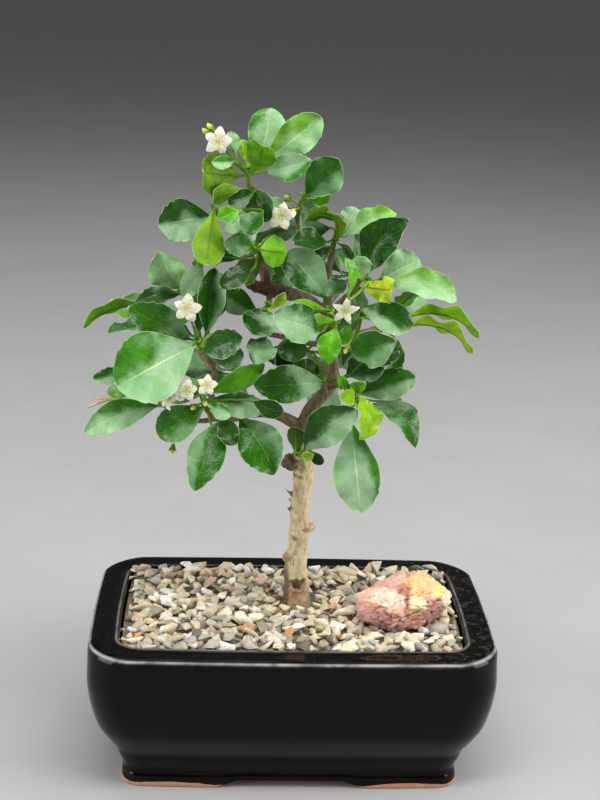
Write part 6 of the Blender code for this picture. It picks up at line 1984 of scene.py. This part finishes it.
@dataclass
class Gravel(Assembly):
    """The gravel: a bed of grit with loose pebbles on it."""

    pot: Pot
    bed_colour: Colour = (0.2, 0.17, 0.12)
    bed_bottom: float = 53.5
    bed_top: float = 55.0
    bed_insets: tuple = (12, 15, 19, 24, 29, 34, 39, 43)
    layers: tuple = ((55.4, 0.95), (57.0, 1.0))
    heap: float = 1.3
    back_rise: float = 2.2
    kinds: int = 24
    pitch: float = 5.2
    rim_gap: float = 11.8
    trunk_x: float = 2.5
    trunk_y: float = 3.4
    trunk_radius: float = 5.4

    def heap_at(self, x: float, y: float) -> float:
        """Return how far the gravel is heaped up at a place, in millimetres."""
        middle = math.exp(-(((x - self.trunk_x) / 45.0) ** 2 + (y / 32.0) ** 2))
        return self.heap * middle + self.back_rise * smooth_step((y - 8.0) / 28.0)

    def build(self) -> None:
        """Build the bed and scatter the pebbles over it in layers."""
        piece = Piece("gravel_layer")
        self.build_bed(piece)
        draw = random.Random(7)
        pebbles = [self.pebble(draw) for _ in range(self.kinds)]
        count = 0
        for layer, (height, size) in enumerate(self.layers):
            for x, y in self.spots(draw):
                half = draw.uniform(0.64, 1.30) * size * self.pitch * 0.58
                if not self.fits(x, y, half, layer):
                    half *= 0.6
                if self.fits(x, y, half, layer):
                    self.lay(piece, draw, pebbles, (x, y, height), half)
                    count += 1
        LOG.info("gravel_layer: %d pebbles", count)
        self.finish(piece, "pebbles", "gravel", 80.0)

    def lay(self, piece: Piece, draw: random.Random, pebbles: list, spot: Place, half: float) -> None:
        """Lay one pebble, turned and tinted by chance.

        Args:
            piece: The gravel's piece.
            draw: Where the chances are drawn from.
            pebbles: The kinds to choose from, of unit size.
            spot: x, y and height of its layer in millimetres.
            half: Its half size in millimetres.
        """
        x, y, height = spot
        mesh = draw.choice(pebbles).copy()
        turn = Matrix.Rotation(draw.uniform(0.0, 6.28), 4, "Z")
        turn = turn @ Matrix.Rotation(draw.gauss(0.0, 0.4), 4, "X")
        z = height + self.heap_at(x, y) + draw.uniform(-0.7, 0.7)
        mesh.transform(Matrix.Translation(Vector((x, y, z)) * MM) @ turn @ Matrix.Scale(half * MM, 4))
        start = len(piece.work.verts)
        piece.work.from_mesh(mesh)
        piece.work.verts.ensure_lookup_table()
        bpy.data.meshes.remove(mesh)
        colour = draw.choices([grit.value[0] for grit in Grit], [grit.value[1] for grit in Grit])[0]
        tint = (*lifted(colour, draw.uniform(0.82, 1.15)), 0.0)
        for vertex in piece.work.verts[start:]:
            vertex[piece.tint] = tint

    def build_bed(self, piece: Piece) -> None:
        """Build the low bed of grit under the pebbles.

        Args:
            piece: The gravel's piece.
        """
        rings = [self.pot.ring(12.0, self.bed_bottom, 0.35)]
        rings += [self.pot.ring(inset, self.bed_top, 0.35) for inset in self.bed_insets]
        rows = piece.loft(rings)
        for row in rows[1:]:
            for vertex in row:
                x, y = vertex.co.x / MM, vertex.co.y / MM
                vertex.co.z += (self.heap_at(x, y) + 0.35 * noise.noise(Vector((x, y, 0.0)) * 0.4)) * MM
        piece.paint(rows, self.bed_colour, 0.0)

    def pebble(self, draw: random.Random) -> bpy.types.Mesh:
        """Return one broken pebble of unit size, its edges worn.

        Args:
            draw: Where its form is drawn from.

        Returns:
            The pebble's mesh.
        """
        work = bmesh.new()
        form = Vector((draw.uniform(1.0, 1.45), draw.uniform(0.76, 1.0), draw.uniform(0.58, 0.86)))
        for _ in range(10):
            work.verts.new(scattered_way(draw) * form)
        bmesh.ops.convex_hull(work, input=work.verts)
        loose = [vertex for vertex in work.verts if not vertex.link_faces]
        bmesh.ops.delete(work, geom=loose, context="VERTS")
        bmesh.ops.bevel(
            work, geom=work.edges[:], offset=0.07, affect="EDGES", segments=1, profile=0.5, material=-1,
            clamp_overlap=True,
        )
        bmesh.ops.remove_doubles(work, verts=work.verts, dist=0.02)
        return mesh_of(work, "pebble")

    def spots(self, draw: random.Random) -> list[tuple[float, float]]:
        """Return jittered places on a close grid over the pot's mouth.

        Args:
            draw: Where the jitter is drawn from.

        Returns:
            x and y of each place in millimetres.
        """
        found = []
        for row in range(-12, 13):
            for column in range(-18, 19):
                x = (column + 0.5 * (row % 2)) * self.pitch + draw.uniform(-1.2, 1.2)
                found.append((x, row * self.pitch * 0.80 + draw.uniform(-1.1, 1.1)))
        return found

    def fits(self, x: float, y: float, half: float, layer: int) -> bool:
        """Return whether a pebble lies inside the pot and clear of the trunk and the stone.

        Args:
            x: Its place in millimetres, across.
            y: Its place, backwards.
            half: Its half size.
            layer: Its layer, 0 for the lower one, which reaches in under the stone.

        Returns:
            Whether it fits.
        """
        corner = 5.0
        over_x = max(0.0, abs(x) - self.pot.length / 2 + self.rim_gap + 0.85 * half + corner)
        over_y = max(0.0, abs(y) - self.pot.depth / 2 + self.rim_gap + 0.85 * half + corner)
        if math.hypot(over_x, over_y) > corner:
            return False
        if math.hypot(x - self.trunk_x, y - self.trunk_y) < self.trunk_radius + 0.55 * half:
            return False
        from_stone = math.hypot((x - STONE_CENTRE.x) / STONE_HALF.x, (y - STONE_CENTRE.y) / STONE_HALF.y)
        return from_stone > (0.88 if layer else 0.60)


@dataclass
class AccentStone(Assembly):
    """The pink and yellow stone laid on the gravel."""

    seat: float = 57.2
    pink: Colour = (0.74, 0.42, 0.34)
    foot_colour: Colour = (0.15, 0.07, 0.08)
    bruise: Patch = Patch(-0.61, -0.44, 0.46, 0.34, (0.42, 0.18, 0.18), 0.8, -30)
    stain: Patch = Patch(0.56, -0.46, 0.36, 0.24, (0.46, 0.16, 0.15), 0.85)
    left_patches: tuple = (
        Patch(-0.4, -0.8, 0.5, 0.14, (0.14, 0.06, 0.065), 0.75, -15),
        Patch(-0.34, 0.2, 0.56, 0.3, (0.97, 0.82, 0.66), 0.95, -30),
        Patch(-0.66, 0, 0.28, 0.09, (0.68, 0.27, 0.11), 0.8, -45),
        Patch(0.4, 0.56, 0.5, 0.46, (0.92, 0.66, 0.27), 0.95),
        Patch(0.79, 0.22, 0.2, 0.3, (0.95, 0.88, 0.3), 0.9),
    )
    right_patches: tuple = (
        Patch(0.5, -0.04, 0.24, 0.13, (0.78, 0.48, 0.35), 0.7),
        Patch(0.26, -0.18, 0.21, 0.32, (0.96, 0.88, 0.52), 0.95, 20),
        Patch(0.82, -0.46, 0.17, 0.2, (0.38, 0.23, 0.23), 0.75),
        Patch(0.98, -0.11, 0.12, 0.32, (0.95, 0.88, 0.72), 0.85),
        Patch(-0.04, 0.5, 0.14, 0.18, (0.4, 0.1, 0.1), 0.85),
        Patch(0.04, 0.02, 0.05, 0.34, (0.36, 0.08, 0.06), 0.85),
        Patch(0.16, -0.58, 0.05, 0.26, (0.72, 0.3, 0.08), 0.8, 25),
    )
    holes: tuple = (
        Patch(0.71, -0.12, 0.045, 0.06, (0.05, 0.015, 0.012)),
        Patch(0.47, -0.11, 0.03, 0.04, (0.06, 0.015, 0.012)),
        Patch(0.53, -0.28, 0.03, 0.04, (0.08, 0.02, 0.016), 0.9),
    )

    def build(self) -> None:
        """Build the stone from a ball, broken into planes."""
        piece = Piece("pink_stone")
        planes = self.planes()
        for vertex in bmesh.ops.create_icosphere(piece.work, subdivisions=6, radius=1.0)["verts"]:
            way = vertex.co.normalized()
            up = way.z * 0.85 + way.y * 0.5
            narrowed = 1.0 - 0.16 * max(0.0, -way.x)
            form = Vector((way.x * STONE_HALF.x, way.y * STONE_HALF.y, way.z * STONE_HALF.z * narrowed))
            place = form * self.size_at(way, up, planes) + STONE_CENTRE + STONE_SLANT * way.x
            place.z = max(place.z, self.seat - 0.25)
            vertex[piece.tint] = self.colour_at(way, up, place)
            vertex.co = place * MM
        self.finish(piece, "pink_stone", "accent_stone", 75.0)

    def size_at(self, way: Vector, up: float, planes: list[tuple[Vector, float]]) -> float:
        """Return how far the stone reaches in a direction, as a share of its half size.

        Args:
            way: Direction from the middle.
            up: How high that direction looks from the front.
            planes: The flat breaks.

        Returns:
            The share, with lumps, crevices, ridges and holes.
        """
        lumps = 0.06 * math.sin(4.1 * way.x + 1.0) + 0.05 * math.sin(5.3 * way.y - 2.0 * way.z)
        crevice = 0.16 * peak(way.x, -0.02 - 0.2 * way.z, 0.16) * max(0.0, 0.4 - way.y)
        size = (1.0 + lumps - crevice) * 1.11
        for plane, reach in planes:
            facing = way.dot(plane)
            if facing > 0.3:
                size = min(size, reach / facing)
        size += 0.06 * noise.fractal(way * 2.6, 0.8, 2.1, 5)
        ridge = abs(noise.noise(way * 3.4 + Vector((4.0, 0.0, 0.0))))
        size -= 0.09 * max(0.0, 0.14 - ridge) / 0.14
        size += 0.02 * noise.fractal(way * 11.0, 0.9, 2.1, 3)
        size -= 0.16 * peak(way.x, 0.03 + 0.10 * up, 0.07) * smooth_step(up + 0.9)
        return size - 0.09 * sum(hole.cover(way.x, up) for hole in self.holes)

    def planes(self) -> list[tuple[Vector, float]]:
        """Return the flat breaks that bound the stone: directions and reaches."""
        draw = random.Random(5)
        return [(scattered_way(draw, 0.9), draw.uniform(0.86, 1.0)) for _ in range(26)]

    def colour_at(self, way: Vector, up: float, place: Vector) -> tuple[float, float, float, float]:
        """Return how the stone is coloured at a point.

        Args:
            way: Direction from the middle.
            up: How high that direction looks from the front.
            place: The point in millimetres.

        Returns:
            Its colour and, last, how dark and pitted it is there.
        """
        across = way.x + 0.10 * noise.fractal(way * 2.4, 0.8, 2.0, 4)
        high = up + 0.10 * noise.fractal(way * 2.4 + Vector((9.0, 2.0, 1.0)), 0.8, 2.0, 4)
        colour = self.pink
        for patch in (self.bruise, *self.left_patches, self.stain, *self.right_patches, *self.holes):
            colour = blend_colours(colour, patch.colour, patch.cover(across, high))
        spotted = self.stain.cover(across, high) + self.bruise.cover(across, high)
        foot = 0.5 * smooth_step((58.8 - place.z) / 1.6)
        return (*blend_colours(colour, self.foot_colour, foot), 0.05 + 0.8 * min(1.0, spotted))


@dataclass(frozen=True)
class Studio:
    """The camera, the pale floor and the soft lights."""

    effects: SharedEffects
    floor_size: float = 16.0
    room_colour: tuple = (0.85, 0.86, 0.88, 1.0)
    room_strength: float = 0.15
    lights: tuple = (
        ("overhead", (0.15, 0.15, 1.15), (0, 0, 0.12), (1.8, 1.3), 9.0, (1, 0.99, 0.95)),
        ("strip", (0.1, -0.46, 1.1), (0, 0, 0.06), (1.3, 0.26), 9.0, (1, 0.99, 0.96)),
        ("window_left", (-0.95, -0.28, 0.34), (0, 0, 0.08), (0.62, 0.56), 7.5, (0.99, 1, 1)),
        ("window_right", (0.95, -0.24, 0.34), (0, 0, 0.08), (0.62, 0.56), 7.5, (1, 0.98, 0.95)),
    )

    def build(self, shift: Vector) -> None:
        """Set up what the model is seen with.

        Args:
            shift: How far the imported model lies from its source, in metres.
        """
        self.add_camera(shift)
        self.add_floor()
        for light in self.lights:
            self.add_light(*light)
        world = bpy.data.worlds.new("soft_room")
        world.use_nodes = True
        back = world.node_tree.nodes["Background"]
        back.inputs["Color"].default_value = self.room_colour
        back.inputs["Strength"].default_value = self.room_strength
        bpy.context.scene.world = world
        bpy.context.scene.view_settings.view_transform = "Standard"

    def add_camera(self, shift: Vector) -> None:
        """Add the camera at the photograph's viewing angle.

        Args:
            shift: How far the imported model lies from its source, in metres.
        """
        pitch, yaw, roll = (math.radians(angle) for angle in (VIEW_PITCH, VIEW_YAW, VIEW_ROLL))
        forward = Vector((math.sin(yaw) * math.cos(pitch), math.cos(yaw) * math.cos(pitch), -math.sin(pitch)))
        level = Vector((math.cos(yaw), -math.sin(yaw), 0.0))
        above = level.cross(forward)
        right = level * math.cos(roll) + above * math.sin(roll)
        up = above * math.cos(roll) - level * math.sin(roll)
        lens = bpy.data.cameras.new("camera")
        lens.lens = VIEW_LENS
        lens.clip_end = 60.0
        camera = new_object("camera", lens)
        turn = Matrix((right, up, -forward)).transposed().to_4x4()
        camera.matrix_world = Matrix.Translation(EYE * MM + shift) @ turn
        bpy.context.scene.camera = camera

    def add_floor(self) -> None:
        """Add the plain pale floor."""
        work = bmesh.new()
        bmesh.ops.create_grid(work, x_segments=2, y_segments=2, size=self.floor_size)
        floor = new_object("floor", mesh_of(work, "floor"))
        floor.data.materials.append(FloorFinish("floor_paint", self.effects).build())

    def add_light(self, name: str, place: Place, target: Place, size: tuple, power: float,
                  colour: Colour) -> None:
        """Add one soft rectangular light.

        Args:
            name: Its name.
            place: Where it hangs, in metres.
            target: The point that it looks at.
            size: Its width and height in metres.
            power: Its power in watts.
            colour: Its colour.
        """
        light = bpy.data.lights.new(name, "AREA")
        light.shape = "RECTANGLE"
        light.size, light.size_y = size
        light.energy = power
        light.color = colour
        made = new_object(name, light)
        away = Vector(place) - Vector(target)
        turn = away.to_track_quat("Z", "Y").to_matrix().to_4x4()
        made.matrix_world = Matrix.Translation(Vector(place)) @ turn
        made.visible_camera = False


def dress_node(node: bpy.types.Object, material: bpy.types.Material) -> None:
    """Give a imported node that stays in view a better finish.

    Args:
        node: The node.
        material: Its finish.
    """
    for slot in node.material_slots:
        slot.material = material
    LOG.info("%s: kept, with %s", node.name, material.name)


def main() -> None:
    """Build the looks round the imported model, piece by piece."""
    logging.basicConfig(level=logging.INFO, format="%(name)s %(message)s")
    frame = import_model()
    low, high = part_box("pot")
    shift = Vector(((low.x + high.x) / 2, (low.y + high.y) / 2, 0.0))
    effects = SharedEffects()
    Studio(effects).build(shift)
    nodes = frame["nodes"]
    dress_node(nodes["soil"], EarthFinish("damp_soil", effects).build())
    black = ((0.012, 0.012, 0.013), (0.03, 0.03, 0.032))
    screen = EarthFinish("dull_plastic", effects, *black, 1800.0, 0.6, 0.0001).build()
    dress_node(nodes["drain_screen_left"], screen)
    dress_node(nodes["drain_screen_right"], screen)
    pot = Pot(shift, GlazeFinish("black_glaze", effects).build())
    pot.build()
    Gravel(shift, PebbleFinish("mixed_pebbles", effects).build(), pot).build()
    AccentStone(shift, StoneFinish("pink_layered_stone", effects).build()).build()
    Trunk(shift, BarkFinish("flaky_bark", effects).build()).build()
    foliage = Foliage(shift, LeafFinish("waxy_leaf", effects).build())
    foliage.build()
    Blooms(shift, PetalFinish("cream_petal", effects).build()).build(foliage)


if __name__ == "__main__":
    main()
